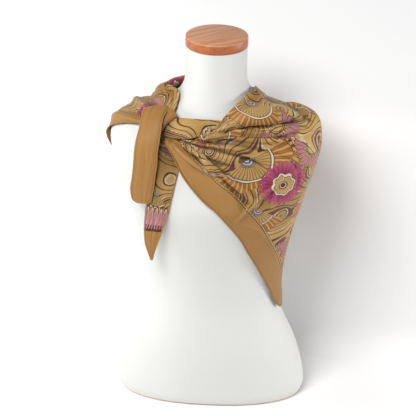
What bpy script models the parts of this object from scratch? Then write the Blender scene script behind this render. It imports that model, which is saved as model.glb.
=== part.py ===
"""A silk square scarf, folded to a triangle and tied on one shoulder of a limbless dress form.

Metres, +Z up, the front of the form facing -Y and the wearer's left side towards +X. The origin is the
middle of the form's base, on the floor. Tables are in millimetres and degrees.

The cloth is placed as a dressmaker would with a tape: by the angle round the form, counted from +X over
the back, and by the tape distance down from the edge of the neck. Past 360 degrees the count runs on, so
the scarf's rows go from the knot round the front, the left side and the back, and come to the knot again.
"""

import math

import bmesh
import bpy
import numpy as np
from mathutils import Vector
from mathutils.bvhtree import BVHTree

MM = 0.001
SEAM_GAP = 0.3 * MM

WALL = 1.5 * MM                 # thickness of the scarf's cloth
CLEARANCE = 3.0 * MM            # least distance from the form to the middle of the cloth
CONTACT = 0.8 * MM              # how softly the cloth comes to rest on the form
FOLD_RADIUS = 1.25 * MM         # of a strip's cloth where it turns back on itself

FORM_SIDES = 40
FORM_RING_COUNT = 27
SURFACE_FACETS = (132, 108)     # round the form and down it, of the surface the cloth is laid over
BOARD_THICKNESS = 3.0 * MM
BOARD_INSET = 2.0 * MM
CAP_RADIUS = 57.0 * MM
CAP_THICKNESS = 18.0 * MM
CAP_BEVEL = 2.0 * MM

BASE_LINES = 36                 # lines of points of the sheet before its pleats are laid
ROLL_LINES = 4                  # lines between the neckline and the roll's edge
SKIRT_LINES = 9                 # lines between the tongue pleat and the hem
LINE_CROWDING = 1.25            # above 1 the lines lie closer together near the top
RELAX_ROUNDS = 40
FOLD_SAMPLES = 60               # points along each fold, from which distances are taken

# Heights at the side, front and back of each ring, half its width, its depths, and how square it is.
FORM_RINGS = [
    # name            side  front   back  width  front   back  square
    ("neck_top",     684.0, 684.0, 684.0,  56.3,  56.3,  56.3, 2.00),
    ("neck_mid",     642.0, 640.0, 644.0,  56.0,  56.0,  56.0, 2.00),
    ("neck_low",     612.0, 600.0, 615.0,  59.0,  59.0,  58.0, 2.00),
    ("neck_flare",   588.0, 568.0, 592.0,  74.0,  68.0,  64.0, 2.00),
    ("shoulder_in",  567.0, 546.0, 572.0, 104.0,  79.0,  74.0, 2.10),
    ("shoulder_mid", 555.0, 525.0, 552.0, 140.0,  91.0,  82.0, 2.20),
    ("shoulder_out", 545.0, 503.0, 532.0, 170.0, 102.0,  90.0, 2.25),
    ("shoulder_tip", 528.0, 480.0, 512.0, 187.0, 111.0,  95.0, 2.30),
    ("arm_upper",    502.0, 456.0, 487.0, 191.5, 117.0,  98.0, 2.30),
    ("arm_lower",    465.0, 430.0, 455.0, 183.5, 122.0, 100.0, 2.30),
    ("bust",         398.0, 395.0, 400.0, 162.5, 125.0, 102.0, 2.30),
    ("under_bust",   330.0, 330.0, 330.0, 142.5, 108.0,  98.0, 2.30),
    ("waist_top",    255.0, 255.0, 255.0, 126.0,  92.0,  90.0, 2.30),
    ("waist",        190.0, 190.0, 190.0, 120.0,  86.0,  87.0, 2.30),
    ("high_hip",     142.0, 142.0, 142.0, 135.0,  91.0,  98.0, 2.30),
    ("hip_mid",       95.0,  95.0,  95.0, 156.0,  98.0, 108.0, 2.30),
    ("hip",           50.0,  50.0,  50.0, 169.0, 101.0, 110.0, 2.30),
    ("hip_low",       18.0,  18.0,  18.0, 174.0, 102.0, 111.0, 2.30),
    ("base_edge",      3.3,   3.3,   3.3, 170.0, 100.0, 109.0, 2.30),
]

# Where the neckline and the hem pass: degrees, mm of tape, mm clear of the form. Then the two pleats below
# the neckline: how far down each lies, and its size, from 0, laid flat, over 0.5, a step, to 1, folded
# under. The last number is how many columns of faces reach to the next row.
CAPE_ROWS = [
    # name            neck angle down  lift   hem angle down  lift   roll at size   tongue at size  columns
    ("knot_front",     232.0, 150.0,  2.8,     237.5, 181.0,  2.8,      8.0, 0.0,     17.0, 0.0,  2),
    ("under_band",     242.0, 151.0,  2.8,     245.5, 197.0,  3.5,      9.0, 0.0,     18.0, 0.0,  3),
    ("flap",           253.0, 151.0,  2.8,     252.0, 211.0,  4.0,      9.0, 0.0,     19.0, 0.0,  3),
    ("band_foot",      263.0, 150.0,  4.0,     259.0, 237.0,  4.0,      9.0, 0.1,     18.0, 0.1,  3),
    ("roll_tip",       271.0, 136.0,  8.5,     267.0, 268.0,  4.0,     12.0, 0.6,     21.0, 0.7,  4),
    ("throat",         286.0, 116.0, 10.0,     277.0, 307.0,  4.5,     26.0, 1.0,     36.0, 1.0,  4),
    ("collarbone",     304.0,  97.0, 10.0,     288.0, 358.0,  5.0,     42.0, 1.0,     55.0, 1.0,  3),
    ("neck_turn",      317.0,  89.0, 10.0,     295.0, 396.0,  5.0,     56.0, 1.0,     69.0, 1.0,  3),
    ("neck_side",      329.0,  82.0,  8.0,     303.0, 434.0,  5.0,     72.5, 1.0,     84.5, 1.0,  3),
    ("neck_back",      340.0,  83.0,  8.0,     312.0, 473.0,  5.0,     82.5, 1.0,     92.0, 1.0,  3),
    ("shoulder_seam",  351.0,  88.0,  7.5,     322.0, 512.0,  5.0,     94.5, 0.6,    103.0, 0.6,  3),
    ("tip_front",      362.0,  95.0,  6.5,     341.0, 564.0,  5.0,    108.0, 0.2,    118.0, 0.2,  3),
    ("apex",           372.0, 100.0,  6.0,     353.0, 594.0,  5.0,    113.0, 0.0,    130.0, 0.0,  3),
    ("tip_back",       381.0, 102.0,  5.5,     363.0, 570.0,  4.5,    106.0, 0.0,    130.0, 0.0,  2),
    ("hip_back",       391.0, 101.0,  5.5,     378.0, 545.0,  5.0,     96.0, 0.0,    124.0, 0.0,  2),
    ("waist_back",     405.0,  97.0,  6.0,     403.0, 491.0,  7.0,     82.0, 0.1,    112.0, 0.0,  2),
    ("small_of_back",  424.0,  91.0,  7.0,     428.0, 436.0,  9.0,     66.0, 0.4,     98.0, 0.0,  2),
    ("nape",           448.0,  85.0,  8.0,     452.0, 385.0,  9.0,     51.0, 0.6,     84.0, 0.0,  2),
    ("blade",          476.0,  79.0, 10.0,     478.0, 358.0,  7.0,     42.0, 0.4,     76.0, 0.0,  2),
    ("back_left",      500.0,  82.0, 12.0,     502.0, 336.0,  8.0,     38.0, 0.1,     74.0, 0.0,  3),
    ("gape_back",      516.0,  79.0, 17.0,     517.0, 308.0, 10.0,     36.0, 0.0,     72.0, 0.0,  4),
    ("gape",           530.0,  90.0, 22.0,     527.0, 281.0, 12.0,     34.0, 0.0,     70.0, 0.0,  4),
    ("gape_front",     546.0,  92.0, 17.0,     538.0, 256.0,  9.0,     34.0, 0.0,     70.0, 0.0,  4),
    ("collar_side",    558.0,  79.0, 10.0,     548.0, 233.0,  5.0,     32.0, 0.0,     68.0, 0.0,  3),
    ("collar_front",   568.0,  94.0,  8.0,     559.0, 212.0,  3.0,     25.0, 0.0,     54.0, 0.0,  3),
    ("collar_foot",    577.0, 116.0,  5.0,     571.0, 191.0,  3.0,     16.0, 0.0,     36.0, 0.0,  3),
    ("knot_rear",      585.0, 136.0,  2.8,     584.0, 165.0,  2.8,      8.0, 0.0,     16.0, 0.0,  0),
]

# One pleat's lines down its section, from mm past its edge and shares of its height: standing as a step, and
# folded under. Laid flat, the lines are evenly spread over a share of the room between the two pleats.
FLAT_SPREAD = 0.9
PLEAT_STEP = [(-2.5, 1.0), (-1.0, 0.9), (0.0, 0.7), (0.8, 0.5), (1.6, 0.3), (2.4, 0.1), (4.0, 0.0)]
PLEAT_UNDER = [(0.0, 1.0), (1.4, 0.75), (0.0, 0.5), (-6.0, 0.5), (-7.4, 0.25), (-6.0, 0.0), (1.0, 0.0)]
ROLL_HEIGHT = 5.0
TONGUE_HEIGHT = 5.0

# The neckline is a crease: its lines lie flat where the cloth lies low, and turn inwards where it stands.
CREASE_FLAT = [(0.0, 0.0), (0.9, 0.0), (1.8, 0.0), (2.7, 0.0)]
CREASE_STEP = [(0.0, -2.6), (0.9, -2.4), (1.8, -1.2), (2.7, 0.0)]
CREASE_TURNED = [(5.0, -2.6), (1.5, -2.6), (-0.4, -1.3), (1.5, 0.0)]
CREASE_LIFTS = (3.5, 8.0)       # mm clear of the form where the turning starts and where it is whole

# Each fold is a ridge along a path over the form. A negative height is a trough.
CAPE_FOLDS = [
    # name        height, width above, width below, path as (angle, down)
    ("hollow_ridge",    8,  9,  9, [(250, 174), (262, 177), (274, 181), (286, 190), (298, 208)]),
    ("flap_ridge",     12,  8, 45, [(240, 170), (249, 180), (258, 187), (267, 199), (276, 245), (285, 300)]),
    ("shoulder_pull",   3, 20, 22, [(300, 205), (318, 232), (336, 290), (345, 360)]),
    ("side_fold",       3, 18, 22, [(352, 215), (360, 320), (362, 430), (357, 520)]),
    ("back_swag_1",     8, 20, 16, [(508, 132), (484, 144), (452, 175), (415, 195), (385, 185)]),
    ("back_swag_2",     9, 24, 20, [(504, 185), (482, 215), (452, 250), (415, 290), (385, 295)]),
    ("back_swag_3",     9, 26, 22, [(504, 238), (482, 274), (452, 322), (425, 370), (400, 400)]),
    ("collar_roll",     6, 24, 16, [(584, 144), (572, 126), (556, 122), (538, 124), (516, 118), (495, 100)]),
    ("collar_valley",  -6, 10, 10, [(580, 150), (566, 142), (550, 146), (530, 150), (510, 150)]),
    ("arm_fold_1",      5, 11,  9, [(584, 150), (564, 150), (548, 154), (532, 162), (516, 172), (502, 190)]),
    ("arm_fold_2",      7, 10,  8, [(584, 154), (566, 162), (550, 172), (536, 181), (520, 190), (506, 210)]),
    ("arm_fold_3",      8,  9, 12, [(582, 160), (566, 176), (552, 192), (539, 202), (524, 210), (510, 235)]),
]

# Strips: both edges of each row in mm, and how far its middle stands proud.
BAND_ROWS = [
    # name          lower edge               upper edge               bow
    ("knot_end",   (-92.0,  -84.0, 541.0),  (-82.0,  -68.0, 560.0),   1.5),
    ("gather",     (-80.0,  -91.0, 537.0),  (-74.0,  -68.0, 565.0),   3.5),
    ("belly",      (-54.0, -100.0, 538.0),  (-55.0,  -69.0, 566.0),   5.0),
    ("chest",      (-37.0, -100.0, 539.5),  (-30.0,  -71.8, 566.0),   4.5),
    ("collarbone", (-22.0,  -94.0, 543.0),  (-12.0,  -72.8, 566.0),   2.5),
    ("tuck",       (-10.5,  -82.0, 546.0),  (  3.0,  -72.6, 566.0),   0.3),
    ("tuck_end",   (  1.0,  -79.6, 550.5),  ( 17.0,  -71.4, 565.0),   0.0),
]
LOOP_ROWS = [
    # name          inner edge               outer edge               bow
    ("back",       ( -97.0, -52.0, 568.0),  ( -84.0, -50.0, 577.0),   0.5),
    ("rise",       ( -93.0, -62.0, 571.0),  ( -75.0, -58.0, 579.0),   1.0),
    ("crown",      ( -89.0, -72.0, 568.0),  ( -67.0, -68.0, 574.0),   2.0),
    ("brow",       ( -89.0, -81.0, 561.0),  ( -67.0, -76.0, 565.0),   2.5),
    ("cheek",      ( -91.0, -88.0, 552.0),  ( -77.0, -84.0, 555.0),   2.0),
    ("foot",       ( -95.0, -95.0, 541.0),  ( -87.0, -92.0, 543.0),   1.0),
    ("tuck",       ( -99.0, -98.5, 532.0),  ( -93.0, -97.0, 533.0),   0.5),
]
TAIL_LONG_ROWS = [
    # name          left edge                right edge               bow
    ("behind",     (-113.0,  -37.0, 575.0), ( -85.0,  -41.0, 582.0),  1.0),
    ("crown",      (-121.0,  -50.0, 574.0), ( -80.0,  -58.0, 583.0),  3.0),
    ("brow",       (-128.0,  -68.0, 563.0), ( -88.0,  -77.0, 575.0),  4.0),
    ("knot",       (-133.0,  -88.0, 547.0), ( -91.0,  -99.0, 556.0),  4.0),
    ("under_knot", (-137.0, -100.0, 530.0), ( -93.0, -109.0, 536.0),  3.5),
    ("shoulder",   (-139.0, -106.0, 511.0), ( -94.0, -114.0, 516.0),  3.0),
    ("chest",      (-139.0, -109.0, 490.0), ( -97.0, -117.0, 494.0),  2.5),
    ("bust",       (-142.0, -111.0, 465.0), ( -99.0, -119.0, 469.0),  2.5),
    ("low",        (-145.0, -111.0, 444.0), (-101.0, -120.0, 447.0),  2.5),
    ("round_1",    (-143.0, -111.0, 428.0), (-103.0, -120.0, 432.0),  2.0),
    ("round_2",    (-138.0, -112.0, 419.0), (-106.0, -120.0, 421.0),  1.5),
    ("end",        (-130.0, -114.0, 414.0), (-112.0, -119.0, 415.0),  1.0),
]
TAIL_POINTED_ROWS = [
    # name          left edge                right edge               bow
    ("in_knot",    ( -99.0,  -90.0, 540.0), ( -89.0,  -90.0, 534.0),  0.8),
    ("under_knot", ( -99.0,  -98.0, 526.0), ( -80.0,  -92.5, 519.0),  1.0),
    ("spread",     (-101.0, -103.0, 506.0), ( -67.0, -102.8, 502.0),  2.0),
    ("widest",     (-103.0, -106.0, 486.0), ( -60.0, -111.0, 483.0),  2.5),
    ("chest",      (-106.0, -109.0, 458.0), ( -65.0, -117.0, 456.0),  2.5),
    ("bust",       (-108.0, -111.0, 430.0), ( -71.0, -120.0, 426.0),  2.5),
    ("crease",     (-108.0, -112.0, 404.0), ( -76.0, -120.0, 401.0),  2.0),
    ("taper_1",    (-109.0, -112.0, 380.0), ( -82.0, -118.0, 379.0),  1.5),
    ("taper_2",    (-110.0, -112.0, 355.0), ( -89.0, -116.0, 355.0),  1.0),
    ("taper_3",    (-111.0, -111.0, 334.0), ( -96.0, -114.0, 333.0),  0.8),
    ("taper_4",    (-109.0, -111.0, 317.0), (-101.0, -112.0, 316.0),  0.4),
    ("point",      (-107.0, -111.0, 300.0), (-104.6, -111.0, 299.0),  0.0),
]

KNOT_CORE_CENTRE = (-103.0, -74.0, 556.0)
KNOT_CORE_RADII = (10.4, 9.0, 11.6)


def spline(rows, place):
    """Smooth values through evenly spaced rows (Catmull-Rom), at any places counted in rows."""
    rows = np.asarray(rows, float)
    last = len(rows) - 1
    place = np.clip(np.asarray(place, float), 0, last)
    start = np.minimum(place.astype(int), last - 1)
    t = (place - start)[..., None]
    before, here, after, beyond = (rows[np.clip(start + k, 0, last)] for k in (-1, 0, 1, 2))
    bend = 2 * before - 5 * here + 4 * after - beyond
    twist = 3 * here - before - 3 * after + beyond
    return 0.5 * (2 * here + (after - before) * t + bend * t**2 + twist * t**3)


def unit(vectors):
    return vectors / (np.linalg.norm(vectors, axis=-1, keepdims=True) + 1e-12)


def form_point(angle, level):
    """A point of the form's surface: an angle in radians, and a level counted in rows of FORM_RINGS."""
    angle, level = np.broadcast_arrays(np.asarray(angle, float), np.asarray(level, float))
    values = spline([row[1:] for row in FORM_RINGS], level)
    side, front, back, width, front_depth, back_depth, square = np.moveaxis(values, -1, 0)
    c, s = np.cos(angle), np.sin(angle)
    x = width * np.sign(c) * np.abs(c) ** (2 / square)
    y = np.where(s < 0, front_depth, back_depth) * np.sign(s) * np.abs(s) ** (2 / square)
    z = side * c * c + np.where(s < 0, front, back) * s * s
    return np.stack([x, y, z], -1) * MM


def form_surface():
    """The form's surface in fine facets, for finding its nearest point."""
    across, along = SURFACE_FACETS
    angles = np.linspace(0, 2 * math.pi, across, endpoint=False)
    levels = np.linspace(0, len(FORM_RINGS) - 1, along)
    points = form_point(angles[None, :], levels[:, None]).reshape(-1, 3)
    first = (np.arange(along - 1)[:, None] * across + np.arange(across)).ravel()
    second = (np.arange(along - 1)[:, None] * across + (np.arange(across) + 1) % across).ravel()
    faces = np.stack([first, first + across, second + across, second], -1)
    return BVHTree.FromPolygons(points.tolist(), faces.tolist())


class Tape:
    """Turns an angle round the form and a tape distance down it into a point near its surface."""

    def __init__(self):
        self.levels = np.linspace(0, len(FORM_RINGS) - 1, 361)
        self.angles = np.radians(np.arange(361))
        points = form_point(self.angles[:, None], self.levels[None, :])
        steps = np.linalg.norm(np.diff(points, axis=1), axis=-1)
        self.down = np.concatenate([np.zeros((361, 1)), np.cumsum(steps, axis=1)], axis=1)

    def level(self, angle, down):
        turn = angle % 360
        first = int(turn)
        near = np.interp(down * MM, self.down[first], self.levels)
        far = np.interp(down * MM, self.down[first + 1], self.levels)
        return near + (far - near) * (turn - first)

    def points(self, angle, down, lift):
        angle, down, lift = (np.asarray(v, float) for v in np.broadcast_arrays(angle, down, lift))
        levels = np.array([self.level(a, d) for a, d in zip(angle.flat, down.flat)])
        levels = levels.reshape(angle.shape)
        turn = np.radians(angle)
        small = 1e-3
        around = form_point(turn + small, levels) - form_point(turn - small, levels)
        downward = form_point(turn, levels + small) - form_point(turn, levels - small)
        outward = unit(np.cross(downward, around))
        return form_point(turn, levels) + outward * lift[..., None] * MM


def material(name, colour, roughness, metallic=0.0):
    made = bpy.data.materials.new(name)
    made.use_nodes = True
    shader = made.node_tree.nodes["Principled BSDF"]
    shader.inputs["Base Color"].default_value = (*colour, 1)
    shader.inputs["Roughness"].default_value = roughness
    shader.inputs["Metallic"].default_value = metallic
    made.diffuse_color = (*colour, 1)
    return made


def loft(name, rows, finish, closed=False, capped=False):
    """A skin of quads over rows of points, each row closed to a ring or open, its ends capped or not."""
    mesh = bmesh.new()
    skin = [[mesh.verts.new(point) for point in row] for row in rows]
    count = len(skin[0])
    for above, below in zip(skin, skin[1:]):
        for i in range(count if closed else count - 1):
            j = (i + 1) % count
            mesh.faces.new((above[i], below[i], below[j], above[j]))
    if capped:
        mesh.faces.new(skin[0])
        mesh.faces.new(reversed(skin[-1]))
    return finished(name, mesh, finish)


def finished(name, mesh, finish):
    bmesh.ops.recalc_face_normals(mesh, faces=mesh.faces)
    data = bpy.data.meshes.new(name)
    mesh.to_mesh(data)
    mesh.free()
    data.shade_smooth()
    made = bpy.data.objects.new(name, data)
    made.data.materials.append(finish)
    scarf.objects.link(made)
    return made


def solidify(sheet):
    wall = sheet.modifiers.new("Wall", "SOLIDIFY")
    wall.thickness = WALL
    wall.offset = 0.0
    return sheet


def form_torso(finish):
    angles = np.linspace(0, 2 * math.pi, FORM_SIDES, endpoint=False)
    levels = np.linspace(0, len(FORM_RINGS) - 1, FORM_RING_COUNT)
    return loft("form_torso", form_point(angles[None, :], levels[:, None]), finish, True, True)


def form_base_board(finish):
    """A flat board under the form, of the outline of its lowest ring."""
    _, _, _, _, width, front, back, square = FORM_RINGS[-1]
    curve = bpy.data.curves.new("form_base_board", "CURVE")
    curve.dimensions = "2D"
    curve.fill_mode = "BOTH"
    curve.extrude = BOARD_THICKNESS / 2
    outline = curve.splines.new("POLY")
    outline.points.add(FORM_SIDES - 1)
    for point, angle in zip(outline.points, np.linspace(0, 2 * math.pi, FORM_SIDES, endpoint=False)):
        c, s = math.cos(angle), math.sin(angle)
        x = (width * MM - BOARD_INSET) * math.copysign(abs(c) ** (2 / square), c)
        depth = (front if s < 0 else back) * MM - BOARD_INSET
        point.co = (x, depth * math.copysign(abs(s) ** (2 / square), s), 0, 1)
    outline.use_cyclic_u = True
    made = bpy.data.objects.new("form_base_board", curve)
    made.location.z = BOARD_THICKNESS / 2
    made.data.materials.append(finish)
    scarf.objects.link(made)


def form_neck_cap(finish):
    top = FORM_RINGS[0][1] * MM
    bpy.ops.mesh.primitive_cylinder_add(
        vertices=40, radius=CAP_RADIUS, depth=CAP_THICKNESS,
        location=(0, 0, top + SEAM_GAP + CAP_THICKNESS / 2))
    cap = bpy.context.object
    cap.name = cap.data.name = "form_neck_cap"
    rim = cap.modifiers.new("Rim", "BEVEL")
    rim.width = CAP_BEVEL
    cap.data.materials.append(finish)
    cap.data.shade_smooth()
    for collection in cap.users_collection:
        collection.objects.unlink(cap)
    scarf.objects.link(cap)


def cape_base(rows):
    """Points of the cape before it is drawn taut: columns run from the neckline down to the hem."""
    neck, hem = rows[:, None, :3], rows[:, None, 3:6]
    share = np.linspace(0, 1, BASE_LINES)[None, :, None] ** LINE_CROWDING
    share = np.concatenate([share, share, 1 - (1 - share) ** 2], axis=-1)
    angle, down, lift = np.moveaxis(neck + (hem - neck) * share, -1, 0)
    return tape.points(angle, down, lift)


def pushed_out(points, surface, clearance):
    """The same points, with each that lies too near the form, or in it, moved out."""
    for index in np.ndindex(points.shape[:2]):
        place = Vector(points[index])
        nearest, outward, _, _ = surface.find_nearest(place)
        spare = ((place - nearest).dot(outward) - clearance) / CONTACT
        if spare < 4:
            points[index] = nearest + outward * (clearance + CONTACT * math.log1p(math.exp(spare)))
    return points


def relaxed(points, surface):
    """The sheet drawn taut between its edges over the form, like cloth under a light pull."""
    across = 1 / (np.linalg.norm(np.diff(points, axis=0), axis=-1, keepdims=True) + MM)
    along = 1 / (np.linalg.norm(np.diff(points, axis=1), axis=-1, keepdims=True) + MM)
    pulls = across[:-1, 1:-1], across[1:, 1:-1], along[1:-1, :-1], along[1:-1, 1:]
    for _ in range(RELAX_ROUNDS):
        around = points[:-2, 1:-1], points[2:, 1:-1], points[1:-1, :-2], points[1:-1, 2:]
        points[1:-1, 1:-1] = sum(p * w for p, w in zip(around, pulls)) / sum(pulls)
        points = pushed_out(points, surface, CLEARANCE)
    return points


def outward_of(points):
    """The outward direction at each point of a grid of columns that run down."""
    return unit(np.cross(np.gradient(points, axis=1), np.gradient(points, axis=0)))


def hump(distance):
    return 0.5 + 0.5 * np.cos(math.pi * np.clip(distance, -1, 1))


def fold_heights(points, outward):
    """How far the folds of the table lift or sink each point."""
    total = np.zeros(points.shape[:2])
    for _, height, above, below, path in CAPE_FOLDS:
        spots = spline(path, np.linspace(0, len(path) - 1, FOLD_SAMPLES))
        line = tape.points(spots[:, 0], spots[:, 1], np.full(FOLD_SAMPLES, 4.0))
        heading = unit(np.gradient(line, axis=0))
        offset = points[:, :, None, :] - line[None, None]
        nearest = np.argmin(np.linalg.norm(offset, axis=-1), axis=-1)
        offset = np.take_along_axis(offset, nearest[..., None, None], axis=2)[:, :, 0]
        heading = heading[nearest]
        sideways = unit(np.cross(outward, heading))
        side = (offset * sideways).sum(-1) / MM
        past = np.abs((offset * heading).sum(-1)) / MM
        downhill = np.sign((sideways * np.array([0, 0, -1])).sum(-1)) * side
        width = np.where(downhill > 0, below, above)
        share = nearest / (FOLD_SAMPLES - 1)
        fade = np.sin(math.pi * np.clip(share, 0, 1)) ** 0.6
        total += height * hump(side / width) * hump(past / (above + below)) * fade
    return total * MM


def blend(flat, step, whole, size):
    """A crease's lines at one size: a step rises first, and then it folds under."""
    flat, step, whole = np.array(flat), np.array(step), np.array(whole)
    if size < 0.5:
        return flat + (step - flat) * 2 * max(size, 0)
    return step + (whole - step) * (2 * min(size, 1) - 1)


def pleat(place, size, height, ground, room):
    """A pleat's lines, in mm from the neckline and mm proud of the sheet, standing on the pleat below it."""
    count = len(PLEAT_STEP)
    flat = np.stack([np.linspace(-0.5, 0.5, count) * FLAT_SPREAD * room, np.zeros(count)], -1)
    return blend(flat, PLEAT_STEP, PLEAT_UNDER, size) * (1, height) + (place, ground)


def column_profile(row, length):
    """Down one column: mm from the neckline, and mm proud of the sheet, for each of its lines."""
    neck_lift, roll_at, roll_size, tongue_at, tongue_size = row[2], *row[6:10]
    low, high = CREASE_LIFTS
    crease = blend(CREASE_FLAT, CREASE_STEP, CREASE_TURNED, (neck_lift - low) / (high - low))
    room = tongue_at - roll_at
    tongue = pleat(tongue_at, tongue_size, TONGUE_HEIGHT, 0, room)
    roll = pleat(roll_at, roll_size, ROLL_HEIGHT, tongue[0, 1], room)
    share = np.linspace(0, 1, ROLL_LINES + 2)[1:-1]
    rise = crease[-1] + (roll[0] - crease[-1]) * np.stack([share, share**1.5], -1)
    share = np.linspace(0, 1, SKIRT_LINES + 1)[1:, None] ** LINE_CROWDING
    skirt = tongue[-1] + ((length, 0) - tongue[-1]) * share
    return np.concatenate([crease, rise, roll, tongue, skirt])


def cape_sheet(surface):
    """The table's rows for every column, and the taut sheet with its folds, before its pleats are laid."""
    places = [i + k / row[-1] for i, row in enumerate(CAPE_ROWS) for k in range(row[-1])]
    rows = spline([row[1:-1] for row in CAPE_ROWS], np.array([*places, len(CAPE_ROWS) - 1]))
    sheet = relaxed(cape_base(rows), surface)
    sheet = sheet + outward_of(sheet) * fold_heights(sheet, outward_of(sheet))[..., None]
    return rows, pushed_out(sheet, surface, CLEARANCE)


def laid(column, normals, profile):
    """The points of a column's profile: mm along the column, and mm out from it."""
    steps = np.linalg.norm(np.diff(column, axis=0), axis=-1)
    place = np.interp(profile[:, 0] * MM, np.concatenate([[0], np.cumsum(steps)]), np.arange(len(column)))
    before = np.minimum(profile[:, :1], 0) * MM * unit(column[1] - column[0])
    return spline(column, place) + before + unit(spline(normals, place)) * profile[:, 1:] * MM


def scarf_cape(finish, surface):
    rows, sheet = cape_sheet(surface)
    columns = []
    for row, column, normals in zip(rows, sheet, outward_of(sheet)):
        length = np.linalg.norm(np.diff(column, axis=0), axis=-1).sum() / MM
        columns.append(laid(column, normals, column_profile(row, length)))
    solidify(loft("scarf_cape", columns, finish))


def strip_section(left, right, heading, bow, front_steps, back_share):
    """One row of a strip: its front from the right edge to the left, then the part turned back behind it."""
    across = unit(left - right)
    outward = unit(np.cross(heading, -across))
    row = []
    for t in np.linspace(0, 1, front_steps):
        row.append(right + (left - right) * t + outward * bow * math.sin(math.pi * t))
    if back_share:
        for turn in (45, 90, 135):
            a = math.radians(turn)
            row.append(left + (across * math.sin(a) + outward * (math.cos(a) - 1)) * FOLD_RADIUS)
        for t in np.linspace(0, back_share, max(3, front_steps // 2)):
            rise = bow * math.sin(math.pi * t)
            row.append(left + (right - left) * t + outward * (rise - 2 * FOLD_RADIUS))
    return row


def strip(name, rows, finish, steps=2, front_steps=9, back_share=0.0):
    """A ribbon of cloth through the table's rows, turned back along its left edge by a share of its width."""
    values = [(*left, *right, bow) for _, left, right, bow in rows]
    smooth = spline(values, np.linspace(0, len(rows) - 1, (len(rows) - 1) * steps + 1)) * MM
    heading = unit(np.gradient((smooth[:, :3] + smooth[:, 3:6]) / 2, axis=0))
    sections = [
        strip_section(row[:3], row[3:6], ahead, row[6], front_steps, back_share)
        for row, ahead in zip(smooth, heading)
    ]
    solidify(loft(name, sections, finish))


def scarf_knot_core(finish):
    """The bundled cloth inside the knot, under the strips that show."""
    mesh = bmesh.new()
    bmesh.ops.create_uvsphere(mesh, u_segments=12, v_segments=8, radius=MM)
    bmesh.ops.scale(mesh, vec=KNOT_CORE_RADII, verts=mesh.verts)
    bmesh.ops.translate(mesh, vec=Vector(KNOT_CORE_CENTRE) * MM, verts=mesh.verts)
    finished("scarf_knot_core", mesh, finish)


for old in list(bpy.data.objects):
    bpy.data.objects.remove(old)
scarf = bpy.data.collections.new("silk_square_scarf")
bpy.context.scene.collection.children.link(scarf)
tape = Tape()

white_jersey = material("white_jersey", (0.86, 0.86, 0.85), 0.75)
beech = material("beech", (0.62, 0.36, 0.19), 0.5)
printed_silk = material("printed_silk", (0.58, 0.39, 0.16), 0.45)
plain_silk = material("plain_silk", (0.48, 0.27, 0.09), 0.45)

form_torso(white_jersey)
form_base_board(beech)
form_neck_cap(beech)
scarf_cape(printed_silk, form_surface())
strip("scarf_neck_band", BAND_ROWS, printed_silk)
strip("scarf_knot_loop", LOOP_ROWS, plain_silk, front_steps=7)
scarf_knot_core(plain_silk)
strip("scarf_tail_long", TAIL_LONG_ROWS, plain_silk, front_steps=7, back_share=0.8)
strip("scarf_tail_pointed", TAIL_POINTED_ROWS, printed_silk, front_steps=7, back_share=0.8)
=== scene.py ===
# A silk square scarf, folded to a triangle and tied on one shoulder of a limbless dress form.
# Metres, +Z up, the front towards -Y. Tables are in millimetres and degrees unless a note says otherwise.
import math

import bmesh
import bpy
import numpy as np
from mathutils import Matrix, Vector
from mathutils.bvhtree import BVHTree


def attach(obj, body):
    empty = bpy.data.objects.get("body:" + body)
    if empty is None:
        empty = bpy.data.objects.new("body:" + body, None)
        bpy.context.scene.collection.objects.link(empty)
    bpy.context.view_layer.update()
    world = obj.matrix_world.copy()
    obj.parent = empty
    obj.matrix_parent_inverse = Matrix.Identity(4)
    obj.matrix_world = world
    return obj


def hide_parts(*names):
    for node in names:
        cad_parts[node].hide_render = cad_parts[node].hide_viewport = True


mm = 0.001
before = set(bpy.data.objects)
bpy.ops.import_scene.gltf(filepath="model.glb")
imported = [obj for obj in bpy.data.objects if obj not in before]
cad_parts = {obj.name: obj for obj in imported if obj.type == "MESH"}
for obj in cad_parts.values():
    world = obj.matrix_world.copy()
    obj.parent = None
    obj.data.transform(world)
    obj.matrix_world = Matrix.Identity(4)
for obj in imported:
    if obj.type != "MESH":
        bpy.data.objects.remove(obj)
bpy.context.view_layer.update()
print("frame loaded:", len(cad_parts), "solids")


# Curves and grids of points

def spline(rows, place):  # smooth values through evenly spaced rows, at places counted in rows
    rows = np.asarray(rows, float)
    flat = rows.reshape(len(rows), -1)
    last = len(rows) - 1
    place = np.clip(np.asarray(place, float), 0, last)
    start = np.minimum(place.astype(int), last - 1)
    t = (place - start)[..., None]
    before, here, after, beyond = (flat[np.clip(start + k, 0, last)] for k in (-1, 0, 1, 2))
    bend = 2 * before - 5 * here + 4 * after - beyond
    twist = 3 * here - before - 3 * after + beyond
    made = 0.5 * (2 * here + (after - before) * t + bend * t**2 + twist * t**3)
    return made.reshape(place.shape + rows.shape[1:])


def unit(vectors):
    return vectors / (np.linalg.norm(vectors, axis=-1, keepdims=True) + 1e-12)


def hump(distance):  # 1 in the middle, falling smoothly to 0 at 1 and beyond
    return 0.5 + 0.5 * np.cos(math.pi * np.clip(distance, -1, 1))


def between(low, high, value):  # 0 at low, 1 at high, smooth in between
    share = np.clip((np.asarray(value, float) - low) / (high - low), 0, 1)
    return share * share * (3 - 2 * share)


def blurred(values, rounds):  # averaged with the neighbours along the first axis
    for _ in range(rounds):
        padded = np.concatenate([values[:1], values, values[-1:]])
        values = (padded[:-2] + 2 * padded[1:-1] + padded[2:]) / 4
    return values


def outwardOf(points):  # the outward direction on a grid of columns that run down
    return unit(np.cross(np.gradient(points, axis=1), np.gradient(points, axis=0)))


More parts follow.
